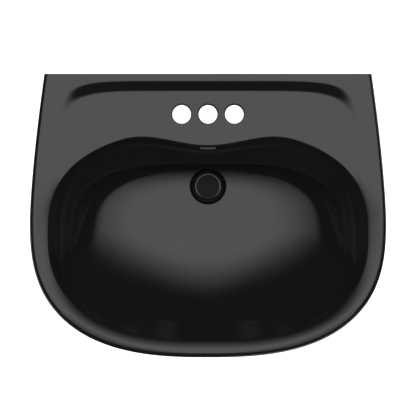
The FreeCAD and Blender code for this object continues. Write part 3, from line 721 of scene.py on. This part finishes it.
# spider: three arms and the hub that the latch's stud screws into
HUB_Z = BOSS_Z + 13
HUB_R = 8.5
HUB_BORE_R = 5.0
ARM_HALF = 2.25
for i in range(3):
    arm = block(HUB_BORE_R + 0.9, BORE_R + 1, -ARM_HALF, ARM_HALF, HUB_Z - 7, HUB_Z)
    settle(arm, "BEVEL", width=0.0008, segments=3)
    swing(arm, 90 + 120 * i)
    combine(drain, arm, "UNION")
profile = [(HUB_BORE_R, HUB_Z - 6.5), (HUB_BORE_R + 0.5, HUB_Z - 7), (HUB_R - 0.6, HUB_Z - 7),
           (HUB_R, HUB_Z - 6.4), (HUB_R, HUB_Z - 0.6), (HUB_R - 0.6, HUB_Z), (HUB_BORE_R + 0.5, HUB_Z),
           (HUB_BORE_R, HUB_Z - 0.5)]
combine(drain, turned("hub", profile, steps=64), "UNION")
shade(drain)

# Matte black coat: a dense fine-grained skin that scatters light instead of mirroring it, so
# it reads as even dark grey, rubbed in patches of 8 mm. Its grain of about 0.1 mm is drawn at
# 0.5 mm, to show.
matte_coat, tree, shader = surface("matte_black_coat_on_brass", IOR=1.5, Specular_IOR_Level=0.12)
place = add(tree, "ShaderNodeTexCoord")
rubbing = add(tree, "ShaderNodeTexNoise", [("Vector", place, "Object")], Scale=cells(8.33), Detail=3.0)
colour = add(tree, "ShaderNodeMixRGB", [("Fac", rubbing, "Fac")],
             Color1=linear("#121212"), Color2=linear("#191919"))
dull = add(tree, "ShaderNodeMapRange", [("Value", rubbing, "Fac")], To_Min=0.5, To_Max=0.62)
grain = add(tree, "ShaderNodeTexNoise", [("Vector", place, "Object")], Scale=cells(0.5), Detail=2.0)
skin = add(tree, "ShaderNodeBump", [("Height", grain, "Fac")], Strength=0.3, Distance=0.0001)
tree.links.new(colour.outputs["Color"], shader.inputs["Base Color"])
tree.links.new(dull.outputs["Result"], shader.inputs["Roughness"])
tree.links.new(skin.outputs["Normal"], shader.inputs["Normal"])
place_piece(drain, "sink", "drain_metal", matte_coat, "drain_body")


# ---- Rubber seals of the drain -------------------------------------------------------------
# Moulded black rubber: a flat ring under the flange, the bevelled gasket that the nut presses
# up against the china from below, and the thin ring on the tailpiece's shoulder.
RING_R = SHANK_R + 0.15
TAIL_SEAL_R = 19.5


def seal_ring(node, inner, outer, edge):
    """A flat rubber ring as thick as its node, with rounded edges."""
    low, high = heights(node)
    profile = arc(outer - edge, low + edge, edge, -90, 0, 4)
    profile += arc(outer - edge, high - edge, edge, 0, 90, 4)
    profile += arc(inner + edge, high - edge, edge, 90, 180, 4)
    profile += arc(inner + edge, low + edge, edge, 180, 270, 4)
    piece = turned(node + "_rubber", profile)
    shade(piece, 50)
    return piece


flange_gasket = seal_ring("flange_gasket", RING_R, RECESS_R - 0.1, 0.5)
tail_seal = seal_ring("tailpiece_seal", BORE_R, TAIL_SEAL_R, 0.25)

# the bevelled gasket reaches up into the drain hole round the shank
GASKET_R = 31.0
low, high = heights("mack_gasket")
profile = [(RING_R, low + 0.5), (RING_R + 0.5, low)] + arc(GASKET_R - 1, low + 1, 1.0, -90, 0, 4)
profile += [(GASKET_R, BOSS_Z - 3.6), (GASKET_R - 0.2, BOSS_Z - 3.0), (28.3, BOSS_Z - 0.3), (27.6, BOSS_Z)]
profile += [(HOLE_R - 0.2, BOSS_Z), (HOLE_R - 0.4, BOSS_Z + 0.4), (21.95, high - 0.4)]
profile += [(21.6, high), (RING_R + 0.25, high), (RING_R, high - 0.4)]
bevelled = turned("mack_gasket_rubber", profile)
shade(bevelled, 50)

# Rubber: dark, dull and slightly dusty in patches of 11 mm, with a pebbled skin from its mould,
# whose pebbles are 0.7 mm across.
moulded_rubber, tree, shader = surface("moulded_black_rubber", IOR=1.52)
place = add(tree, "ShaderNodeTexCoord")
dust = add(tree, "ShaderNodeTexNoise", [("Vector", place, "Object")], Scale=cells(11.1), Detail=4.0)
colour = add(tree, "ShaderNodeMixRGB", [("Fac", dust, "Fac")],
             Color1=linear("#121212"), Color2=linear("#232322"))
dull = add(tree, "ShaderNodeMapRange", [("Value", dust, "Fac")], To_Min=0.62, To_Max=0.8)
pebble = add(tree, "ShaderNodeTexVoronoi", [("Vector", place, "Object")], Scale=cells(0.714))
skin = add(tree, "ShaderNodeBump", [("Height", pebble, "Distance")], Strength=0.2, Distance=0.0001)
tree.links.new(colour.outputs["Color"], shader.inputs["Base Color"])
tree.links.new(dull.outputs["Result"], shader.inputs["Roughness"])
tree.links.new(skin.outputs["Normal"], shader.inputs["Normal"])
place_piece(flange_gasket, "sink", "seal_rubber", moulded_rubber, "flange_gasket")
place_piece(tail_seal, "sink", "seal_rubber", moulded_rubber, "tailpiece_seal")
place_piece(bevelled, "sink", "seal_rubber", moulded_rubber, "mack_gasket")

# ---- Friction washer -----------------------------------------------------------------------
# A stamped ring of natural polythene. It lies under the gasket, and lets the nut turn without
# dragging on the rubber.
WASHER_R = 30.0
low, high = heights("friction_washer")
profile = [(RING_R, low + 0.2), (RING_R + 0.2, low), (WASHER_R - 0.3, low), (WASHER_R, low + 0.3),
           (WASHER_R, high - 0.3), (WASHER_R - 0.3, high), (RING_R + 0.2, high), (RING_R, high - 0.2)]
washer = turned("friction_washer_polythene", profile)
shade(washer, 50)

# Polythene: milky white and waxy, a little uneven over 17 mm, and light sinks into it.
polythene, tree, shader = surface("stamped_natural_polythene", IOR=1.51, Subsurface_Weight=0.15,
                                  Subsurface_Scale=0.002)
place = add(tree, "ShaderNodeTexCoord")
milk = add(tree, "ShaderNodeTexNoise", [("Vector", place, "Object")], Scale=cells(16.7), Detail=3.0)
colour = add(tree, "ShaderNodeMixRGB", [("Fac", milk, "Fac")],
             Color1=linear("#dcdcd4"), Color2=linear("#eeeee8"))
waxy = add(tree, "ShaderNodeMapRange", [("Value", milk, "Fac")], To_Min=0.32, To_Max=0.45)
tree.links.new(colour.outputs["Color"], shader.inputs["Base Color"])
tree.links.new(waxy.outputs["Result"], shader.inputs["Roughness"])
place_piece(washer, "sink", "washer_plastic", polythene, "friction_washer")

# ---- Locknut -------------------------------------------------------------------------------
# A hexagon of pressed brass, faced on both sides and chamfered at its corners, screwed up the
# shank from below.
low, high = heights("locknut")
across = (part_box("locknut")[1].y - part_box("locknut")[0].y) * 500
way = np.radians(np.arange(0, 360, 60))
hexagon = np.column_stack((np.cos(way), np.sin(way))) * across / math.cos(math.radians(30)) + (0, DRAIN_Y)
nut = solid("locknut_brass", [lifted(hexagon, low - 1), lifted(hexagon, high + 1)])
profile = [(RING_R, low + 0.8), (RING_R + 0.8, low), (across, low), (across + 5, low + 3),
           (across + 5, high - 1), (across, high), (RING_R + 0.8, high), (RING_R, high - 0.8)]
combine(nut, turned("chamfers", profile), "INTERSECT")
settle(nut, "BEVEL", width=0.0004, segments=2, limit_method="ANGLE", angle_limit=math.radians(20))
shade(nut, 25)


def rings_apart(size):
    """The scale that spaces a wave's rings a size in millimetres apart."""
    return 100 * math.pi / size


# Brass: warm yellow metal, dulled in patches of 22 mm, with fine rings left by the facing tool.
# They are about 0.1 mm apart, and are drawn 1 mm apart, to show.
faced_brass, tree, shader = surface("machined_brass", Metallic=1.0)
place = add(tree, "ShaderNodeTexCoord")
centred = add(tree, "ShaderNodeVectorMath", [(0, place, "Object")], operation="SUBTRACT")
centred.inputs[1].default_value = (0, DRAIN_Y * 0.001, 0)
turning = add(tree, "ShaderNodeTexWave", [("Vector", centred, "Vector")], wave_type="RINGS",
              rings_direction="Z", Scale=rings_apart(1.047), Distortion=0.6)
tarnish = add(tree, "ShaderNodeTexNoise", [("Vector", place, "Object")], Scale=cells(22.2), Detail=5.0)
colour = add(tree, "ShaderNodeMixRGB", [("Fac", tarnish, "Fac")],
             Color1=linear("#a98845"), Color2=linear("#c8a765"))
satin = add(tree, "ShaderNodeMapRange", [("Value", tarnish, "Fac")], To_Min=0.28, To_Max=0.42)
lines = add(tree, "ShaderNodeBump", [("Height", turning, "Fac")], Strength=0.15, Distance=0.0001)
tree.links.new(colour.outputs["Color"], shader.inputs["Base Color"])
tree.links.new(satin.outputs["Result"], shader.inputs["Roughness"])
tree.links.new(lines.outputs["Normal"], shader.inputs["Normal"])
place_piece(nut, "sink", "locknut_brass", faced_brass, "locknut")

# ---- Tailpiece -----------------------------------------------------------------------------
# Drawn brass tube, 1-1/4 inch, with a threaded collar that screws inside the shank and a
# shoulder for its seal. It is painted black to match the drain.
TAIL_R = 15.875
TAIL_BORE_R = 14.675
COLLAR_R = 17.35
SHOULDER_R = 19.85
low, high = heights("tailpiece")
shoulder = SHANK_Z - 0.8
profile = [(TAIL_BORE_R, low + 0.4), (15.0, low), (15.5, low), (TAIL_R, low + 0.4), (TAIL_R, shoulder - 4.2),
           (16.4, shoulder - 3.4), (19.2, shoulder - 3.2)]
profile += arc(SHOULDER_R - 0.5, shoulder - 2.7, 0.5, -90, 0, 3)
profile += arc(SHOULDER_R - 0.5, shoulder - 0.5, 0.5, 0, 90, 3)
profile += upright(COLLAR_R, shoulder, high - 0.8)
profile += [(16.8, high), (15.2, high), (TAIL_BORE_R, high - 0.5)]
tail = turned("tailpiece_brass", profile)
cut_thread(tail, COLLAR_R, shoulder + 0.3, high - 0.8, 0.6)
shade(tail, 30)

# Black paint on drawn tube: satin, with faint draw lines down its length, about 80 mm long.
# They are 0.2 mm wide, and are drawn 1.1 mm wide, to show.
painted_brass, tree, shader = surface("black_painted_brass_tube", IOR=1.5, Specular_IOR_Level=0.35)
place = add(tree, "ShaderNodeTexCoord")
stretched = add(tree, "ShaderNodeMapping", [("Vector", place, "Object")],
                Scale=(cells(1.11), cells(1.11), cells(83)))
drawn = add(tree, "ShaderNodeTexNoise", [("Vector", stretched, "Vector")], Scale=1.0, Detail=2.0)
colour = add(tree, "ShaderNodeMixRGB", [("Fac", drawn, "Fac")],
             Color1=linear("#141414"), Color2=linear("#1d1d1d"))
satin = add(tree, "ShaderNodeMapRange", [("Value", drawn, "Fac")], To_Min=0.34, To_Max=0.46)
lines = add(tree, "ShaderNodeBump", [("Height", drawn, "Fac")], Strength=0.15, Distance=0.0001)
tree.links.new(colour.outputs["Color"], shader.inputs["Base Color"])
tree.links.new(satin.outputs["Result"], shader.inputs["Roughness"])
tree.links.new(lines.outputs["Normal"], shader.inputs["Normal"])
place_piece(tail, "sink", "tail_brass", painted_brass, "tailpiece")

# ---- Latch case ----------------------------------------------------------------------------
# A moulded acetal case, open at the top for the stem, whose threaded stud screws into the
# drain's spider. Shallow flutes round it give a grip.
CASE_R = 10.0
CASE_BORE_R = 8.2
MOUTH_R = 4.6
STUD_R = 4.9
FLUTES = 12
low, high = heights("latch_housing")
profile = [(0, low), (STUD_R - 0.7, low)] + upright(STUD_R, low + 0.7, HUB_Z)
profile += [(STUD_R, HUB_Z + 0.1), (CASE_R - 0.8, HUB_Z + 0.1), (CASE_R, HUB_Z + 0.9)]
profile += [(CASE_R, z) for z in np.linspace(HUB_Z + 5, high - 7, 12)]
profile += [(CASE_R, high - 1), (CASE_R - 1, high), (MOUTH_R + 0.6, high), (MOUTH_R, high - 0.6),
            (MOUTH_R, high - 1.8), (CASE_BORE_R, high - 1.8), (CASE_BORE_R, HUB_Z + 2.0), (0, HUB_Z + 1.8)]
case = turned("latch_case_acetal", profile, steps=96)
cut_thread(case, STUD_R, low + 0.7, HUB_Z - 0.5, 0.5)
for vertex in case.data.vertices:
    x, y, z = vertex.co.x, vertex.co.y - DRAIN_Y * 0.001, vertex.co.z * 1000
    if abs(math.hypot(x, y) - CASE_R * 0.001) < 1e-5 and HUB_Z + 6 < z < high - 8:
        flute = 1 - 0.05 * max(0, math.cos(FLUTES * math.atan2(y, x)))
        vertex.co.x = x * flute
        vertex.co.y = DRAIN_Y * 0.001 + y * flute
shade(case, 40)

# Acetal: a dense white moulding, smooth and slightly waxy, with soft flow marks 7 mm apart.
acetal, tree, shader = surface("moulded_white_acetal", IOR=1.48)
place = add(tree, "ShaderNodeTexCoord")
flow = add(tree, "ShaderNodeTexNoise", [("Vector", place, "Object")],
           Scale=cells(6.67), Detail=2.0, Distortion=1.5)
colour = add(tree, "ShaderNodeMixRGB", [("Fac", flow, "Fac")],
             Color1=linear("#d9d8d2"), Color2=linear("#e8e7e1"))
sheen = add(tree, "ShaderNodeMapRange", [("Value", flow, "Fac")], To_Min=0.3, To_Max=0.4)
tree.links.new(colour.outputs["Color"], shader.inputs["Base Color"])
tree.links.new(sheen.outputs["Result"], shader.inputs["Roughness"])
place_piece(case, "sink", "latch_plastic", acetal, "latch_housing")

# ---- Latch rotor ---------------------------------------------------------------------------
# The acetal drum that steps round at each push, carried on the stem: eight slanted teeth on top,
# and four lugs that run in the case.
ROTOR_R = 7.0
ROTOR_BORE_R = 3.1
TEETH = 8
TOOTH_H = 0.0012
LUGS = 4
low, high = heights("latch_rotor")
profile = [(ROTOR_BORE_R + 0.3, low), (ROTOR_R - 0.4, low), (ROTOR_R, low + 0.4), (ROTOR_R, high - 1.6),
           (ROTOR_R - 0.1, high), (ROTOR_BORE_R + 0.1, high), (ROTOR_BORE_R, high - 0.3),
           (ROTOR_BORE_R, low + 0.3)]
rotor = turned("latch_rotor_acetal", profile, steps=128)
for vertex in rotor.data.vertices:
    if vertex.co.z * 1000 > high - 0.01:
        turn = math.atan2(vertex.co.y - DRAIN_Y * 0.001, vertex.co.x) / (2 * math.pi)
        vertex.co.z -= TOOTH_H * (TEETH * turn % 1)
for i in range(LUGS):
    lug = block(ROTOR_R - 1, ROTOR_R + 1, -1.2, 1.2, low + 1, high - 1)
    swing(lug, 45 + 360 / LUGS * i)
    combine(rotor, lug, "UNION")
shade(rotor, 30)
place_piece(rotor, "latch", "latch_plastic", acetal, "latch_rotor")

# ---- Spring --------------------------------------------------------------------------------
# Stainless wire, coiled, with a dead coil at each end. It stands in the case under the stem, and
# is squeezed when the stopper goes down.
WIRE_R = 0.6
COIL_R = 6.7
TURNS = 7
DEAD_TURNS = 0.75
low, high = heights("latch_spring")
turns = np.linspace(0, TURNS, TURNS * 40 + 1)
active = np.clip(turns - DEAD_TURNS, 0, TURNS - 2 * DEAD_TURNS) / (TURNS - 2 * DEAD_TURNS)
dead = 2 * WIRE_R + 0.06
climb = low + WIRE_R
climb += dead * (np.clip(turns, 0, DEAD_TURNS) + np.clip(turns - TURNS + DEAD_TURNS, 0, DEAD_TURNS))
climb += active * (high - low - 2 * WIRE_R - 2 * DEAD_TURNS * dead)
section = np.radians(np.arange(0, 360, 30))
rings = []
for turn, z in zip(2 * np.pi * turns, climb):
    out = COIL_R + WIRE_R * np.cos(section)
    rings.append(np.column_stack((out * math.cos(turn), DRAIN_Y + out * math.sin(turn),
                                  z + WIRE_R * np.sin(section))))
spring = solid("stopper_spring_steel", rings)
shade(spring, 60)

# Drawn stainless wire: bright grey metal, with fine draw marks. They are a few hundredths of a
# millimetre wide, and are drawn 1.4 mm wide, to show.
spring_wire, tree, shader = surface("drawn_stainless_wire", Metallic=1.0)
place = add(tree, "ShaderNodeTexCoord")
draw_marks = add(tree, "ShaderNodeTexNoise", [("Vector", place, "Object")], Scale=cells(1.43), Detail=3.0)
colour = add(tree, "ShaderNodeMixRGB", [("Fac", draw_marks, "Fac")],
             Color1=linear("#a9abad"), Color2=linear("#c4c6c8"))
bright = add(tree, "ShaderNodeMapRange", [("Value", draw_marks, "Fac")], To_Min=0.2, To_Max=0.32)
tree.links.new(colour.outputs["Color"], shader.inputs["Base Color"])
tree.links.new(bright.outputs["Result"], shader.inputs["Roughness"])
place_piece(spring, "sink", "spring_steel", spring_wire, "latch_spring")
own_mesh(spring)

# ---- Stem ----------------------------------------------------------------------------------
# A turned brass plunger: its tip screws into the cap, its collar pushes the rotor, and its tail
# ends in a riveted washer over the spring.
STEM_R = 4.5
STEM_TAIL_R = 3.0
STEM_COLLAR_R = 7.8
RIVET_R = 7.5
low, high = heights("stem")
collar = heights("latch_housing")[1] - 4.5
profile = [(0, low), (RIVET_R - 0.3, low), (RIVET_R, low + 0.3), (RIVET_R, low + 1.2),
           (RIVET_R - 0.3, low + 1.5), (STEM_TAIL_R, low + 1.5), (STEM_TAIL_R, collar)]
profile += [(STEM_COLLAR_R - 0.3, collar), (STEM_COLLAR_R, collar + 0.3), (STEM_COLLAR_R, collar + 2.2),
            (STEM_COLLAR_R - 0.3, collar + 2.5), (STEM_R, collar + 2.5), (STEM_R, high - 3.4)]
profile += [(STEM_R - 0.4, high - 3.0), (STEM_TAIL_R, high - 3.0), (STEM_TAIL_R, high - 0.4),
            (STEM_TAIL_R - 0.4, high), (0, high)]
stem = turned("stem_brass", profile, steps=64)
shade(stem)
place_piece(stem, "stopper", "stem_brass", faced_brass, "stem")

# ---- Stopper cap ---------------------------------------------------------------------------
# A turned brass disc with the same matte coat. It is flat on top, with a narrow bevel round its
# edge that carries a painted highlight, and a boss underneath that screws on the stem.
CAP_R = (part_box("stopper_cap")[1].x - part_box("stopper_cap")[0].x) * 500
CAP_BOSS_R = 9.0
GROOVE_R = 18.0
low, high = heights("stopper_cap")
under = high - 3.0
profile = [(0, low + 3.5), (3.1, low + 3.5), (3.1, low + 0.3), (3.4, low), (CAP_BOSS_R - 0.4, low),
           (CAP_BOSS_R, low + 0.4), (CAP_BOSS_R, low + 3.0), (GROOVE_R, low + 3.0), (GROOVE_R, under),
           (CAP_R - 1.1, under), (CAP_R - 0.1, under + 0.6)]
profile += [(CAP_R, under + 0.9), (CAP_R, high - 1.3), (CAP_R - 0.15, high - 1.1), (CAP_R - 1.1, high - 0.12)]
profile += [(CAP_R - 1.35, high), (0, high)]
cap = turned("stopper_cap_brass", profile, steps=128)
shade(cap, 25)

# The same coat, with a painted highlight: a pale line 1 mm wide along the bevel. The painted
# highlight is brightest at the back and fades towards the front, where the cap lies in shade.
painted_highlight_coat = matte_coat.copy()
painted_highlight_coat.name = "matte_black_coat_with_painted_edge_highlight"
tree = painted_highlight_coat.node_tree
shader = tree.nodes["Principled BSDF"]
place = add(tree, "ShaderNodeTexCoord")
centred = add(tree, "ShaderNodeVectorMath", [(0, place, "Object")], operation="SUBTRACT")
centred.inputs[1].default_value = (0, DRAIN_Y * 0.001, high * 0.001)
flattened = add(tree, "ShaderNodeVectorMath", [(0, centred, "Vector")], operation="MULTIPLY")
flattened.inputs[1].default_value = (1, 1, 0)
reach = add(tree, "ShaderNodeVectorMath", [(0, flattened, "Vector")], operation="LENGTH")
# painted highlight: the pale band along the bevel, and its fade towards the front
highlight_band = add(tree, "ShaderNodeMapRange", [("Value", reach, "Value")], From_Min=(CAP_R - 1.5) * 0.001,
             From_Max=(CAP_R - 0.9) * 0.001, To_Max=1.0)
parts = add(tree, "ShaderNodeSeparateXYZ", [("Vector", centred, "Vector")])
highlight_towards_back = add(tree, "ShaderNodeMapRange", [("Value", parts, "Y")], From_Min=-0.022, From_Max=-0.006,
              To_Min=0.1, To_Max=1.0)
painted_highlight = add(tree, "ShaderNodeMath", [(0, highlight_band, "Result"), (1, highlight_towards_back, "Result")], operation="MULTIPLY")
coat_colour = shader.inputs["Base Color"].links[0].from_node
# the painted highlight's pale grey, mixed into the coat's own colour along the bevel
highlight_colour = add(tree, "ShaderNodeMixRGB", [("Fac", painted_highlight, "Value"), ("Color1", coat_colour, "Color")],
                  Color2=linear("#9a9a9a"))
tree.links.new(highlight_colour.outputs["Color"], shader.inputs["Base Color"])
place_piece(cap, "stopper", "drain_metal", painted_highlight_coat, "stopper_cap")

# ---- Stopper seal --------------------------------------------------------------------------
# A moulded rubber ring in a groove under the cap, stretched on over the cap's step. Its bevelled
# lip closes on the flange.
SEAL_R = 22.0
low, high = heights("stopper_seal")
profile = [(GROOVE_R, low + 0.3), (GROOVE_R + 0.3, low), (20.8, low)]
profile += arc(SEAL_R - 1, low + 1.0, 1.0, -70, 0, 5) + [(SEAL_R, high), (GROOVE_R, high)]
lip_ring = turned("stopper_seal_rubber", profile)
shade(lip_ring, 50)
place_piece(lip_ring, "stopper", "seal_rubber", moulded_rubber, "stopper_seal")

# ---- Floor, light and camera ---------------------------------------------------------------
# A pale studio floor, one large soft light overhead, a little towards the wall, and a camera
# straight above the basin.
white_floor, tree, shader = surface("white_studio_floor", Base_Color=linear("#f2f2f0"), Roughness=0.9,
                                    Emission_Color=linear("#ffffff"), Emission_Strength=0.75)
mesh = bpy.data.meshes.new("floor")
mesh.from_pydata([(-40, -40, 0), (40, -40, 0), (40, 40, 0), (-40, 40, 0)], [], [(0, 1, 2, 3)])
mesh.materials.append(white_floor)
floor = bpy.data.objects.new("floor", mesh)
bpy.context.scene.collection.objects.link(floor)
floor.visible_glossy = False
floor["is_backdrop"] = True

# Softbox silk, curved: full light at its middle that fades to nothing at its edge
SOFTBOX_REACH = 8
silk, tree, shader = surface("softbox_silk", Base_Color=linear("#000000"), Roughness=1.0,
                             Emission_Color=linear("#ffffff"))
place = add(tree, "ShaderNodeTexCoord")
parts = add(tree, "ShaderNodeSeparateXYZ", [("Vector", place, "Object")])
turn = add(tree, "ShaderNodeMath", [(0, parts, "Z")], operation="ARCCOSINE")
falloff = add(tree, "ShaderNodeMapRange", [("Value", turn, "Value")], interpolation_type="SMOOTHSTEP",
              From_Min=math.radians(22), From_Max=math.radians(47.5), To_Min=1.88, To_Max=0.0)
tree.links.new(falloff.outputs["Result"], shader.inputs["Emission Strength"])
way = np.linspace(0, 2 * np.pi, 96, endpoint=False)


def hoop(radius, z):
    """A level ring about the middle of the studio."""
    return np.column_stack((radius * np.cos(way), radius * np.sin(way), np.full(len(way), z)))


dome = [hoop(1000 * math.sin(turn), 1000 * math.cos(turn)) for turn in np.radians(np.linspace(56, 0.01, 56))]
softbox = solid("softbox", dome, capped=False)
softbox.data.materials.append(silk)
softbox.scale = (SOFTBOX_REACH, SOFTBOX_REACH, SOFTBOX_REACH)
softbox.location = (0, 0, RIM_Z * 0.001)
softbox.rotation_euler = (math.radians(-16), math.radians(2), 0)
softbox.visible_camera = softbox.visible_shadow = softbox.visible_diffuse = False
softbox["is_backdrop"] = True

# Reflector sweeps: pale cards on the floor that turn up all round, lit at four places. They only
# show as soft upright reflections in the sides of the china.
card, tree, shader = surface("reflector_card", Base_Color=linear("#000000"), Roughness=1.0,
                             Emission_Color=linear("#ffffff"))
place = add(tree, "ShaderNodeTexCoord")
level = add(tree, "ShaderNodeVectorMath", [(0, place, "Object")], operation="MULTIPLY")
level.inputs[1].default_value = (1, 1, 0)
way_out = add(tree, "ShaderNodeVectorMath", [(0, level, "Vector")], operation="NORMALIZE")
total = None
for turn, strength in ((-62, 1.7), (28, 1.1), (118, 1.2), (205, 1.1)):
    towards = add(tree, "ShaderNodeVectorMath", [(0, way_out, "Vector")], operation="DOT_PRODUCT")
    towards.inputs[1].default_value = (math.cos(math.radians(turn)), math.sin(math.radians(turn)), 0)
    lobe = add(tree, "ShaderNodeMapRange", [("Value", towards, "Value")], interpolation_type="SMOOTHSTEP",
               From_Min=math.cos(math.radians(32)), From_Max=math.cos(math.radians(8)), To_Max=strength)
    if total:
        lobe = add(tree, "ShaderNodeMath", [(0, total, 0), (1, lobe, 0)], operation="ADD")
    total = lobe
tree.links.new(total.outputs[0], shader.inputs["Emission Strength"])
sweep = [hoop(r, z) for r, z in ((1150, 2), (2300, 2), (2500, 60), (2600, 300), (2600, 760))]
cards = solid("reflector_cards", sweep, capped=False)
cards.data.materials.append(card)
cards.visible_camera = cards.visible_shadow = cards.visible_diffuse = False
cards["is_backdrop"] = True

world = bpy.data.worlds.new("studio")
bpy.context.scene.world = world
world.use_nodes = True
world.node_tree.nodes["Background"].inputs["Color"].default_value = linear("#ffffff")
world.node_tree.nodes["Background"].inputs["Strength"].default_value = 1.0
world.cycles_visibility.glossy = False
bpy.context.scene.view_settings.view_transform = "Standard"

lens = bpy.data.cameras.new("camera")
lens.lens = 150
camera = bpy.data.objects.new("camera", lens)
camera.location = (0, 0.0148, RIM_Z * 0.001 + 3.328)
bpy.context.scene.collection.objects.link(camera)
bpy.context.scene.camera = camera

sizes = {name: [list(corner) for corner in box] for name, box in (("cad", cad_size), ("visual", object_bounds()))}
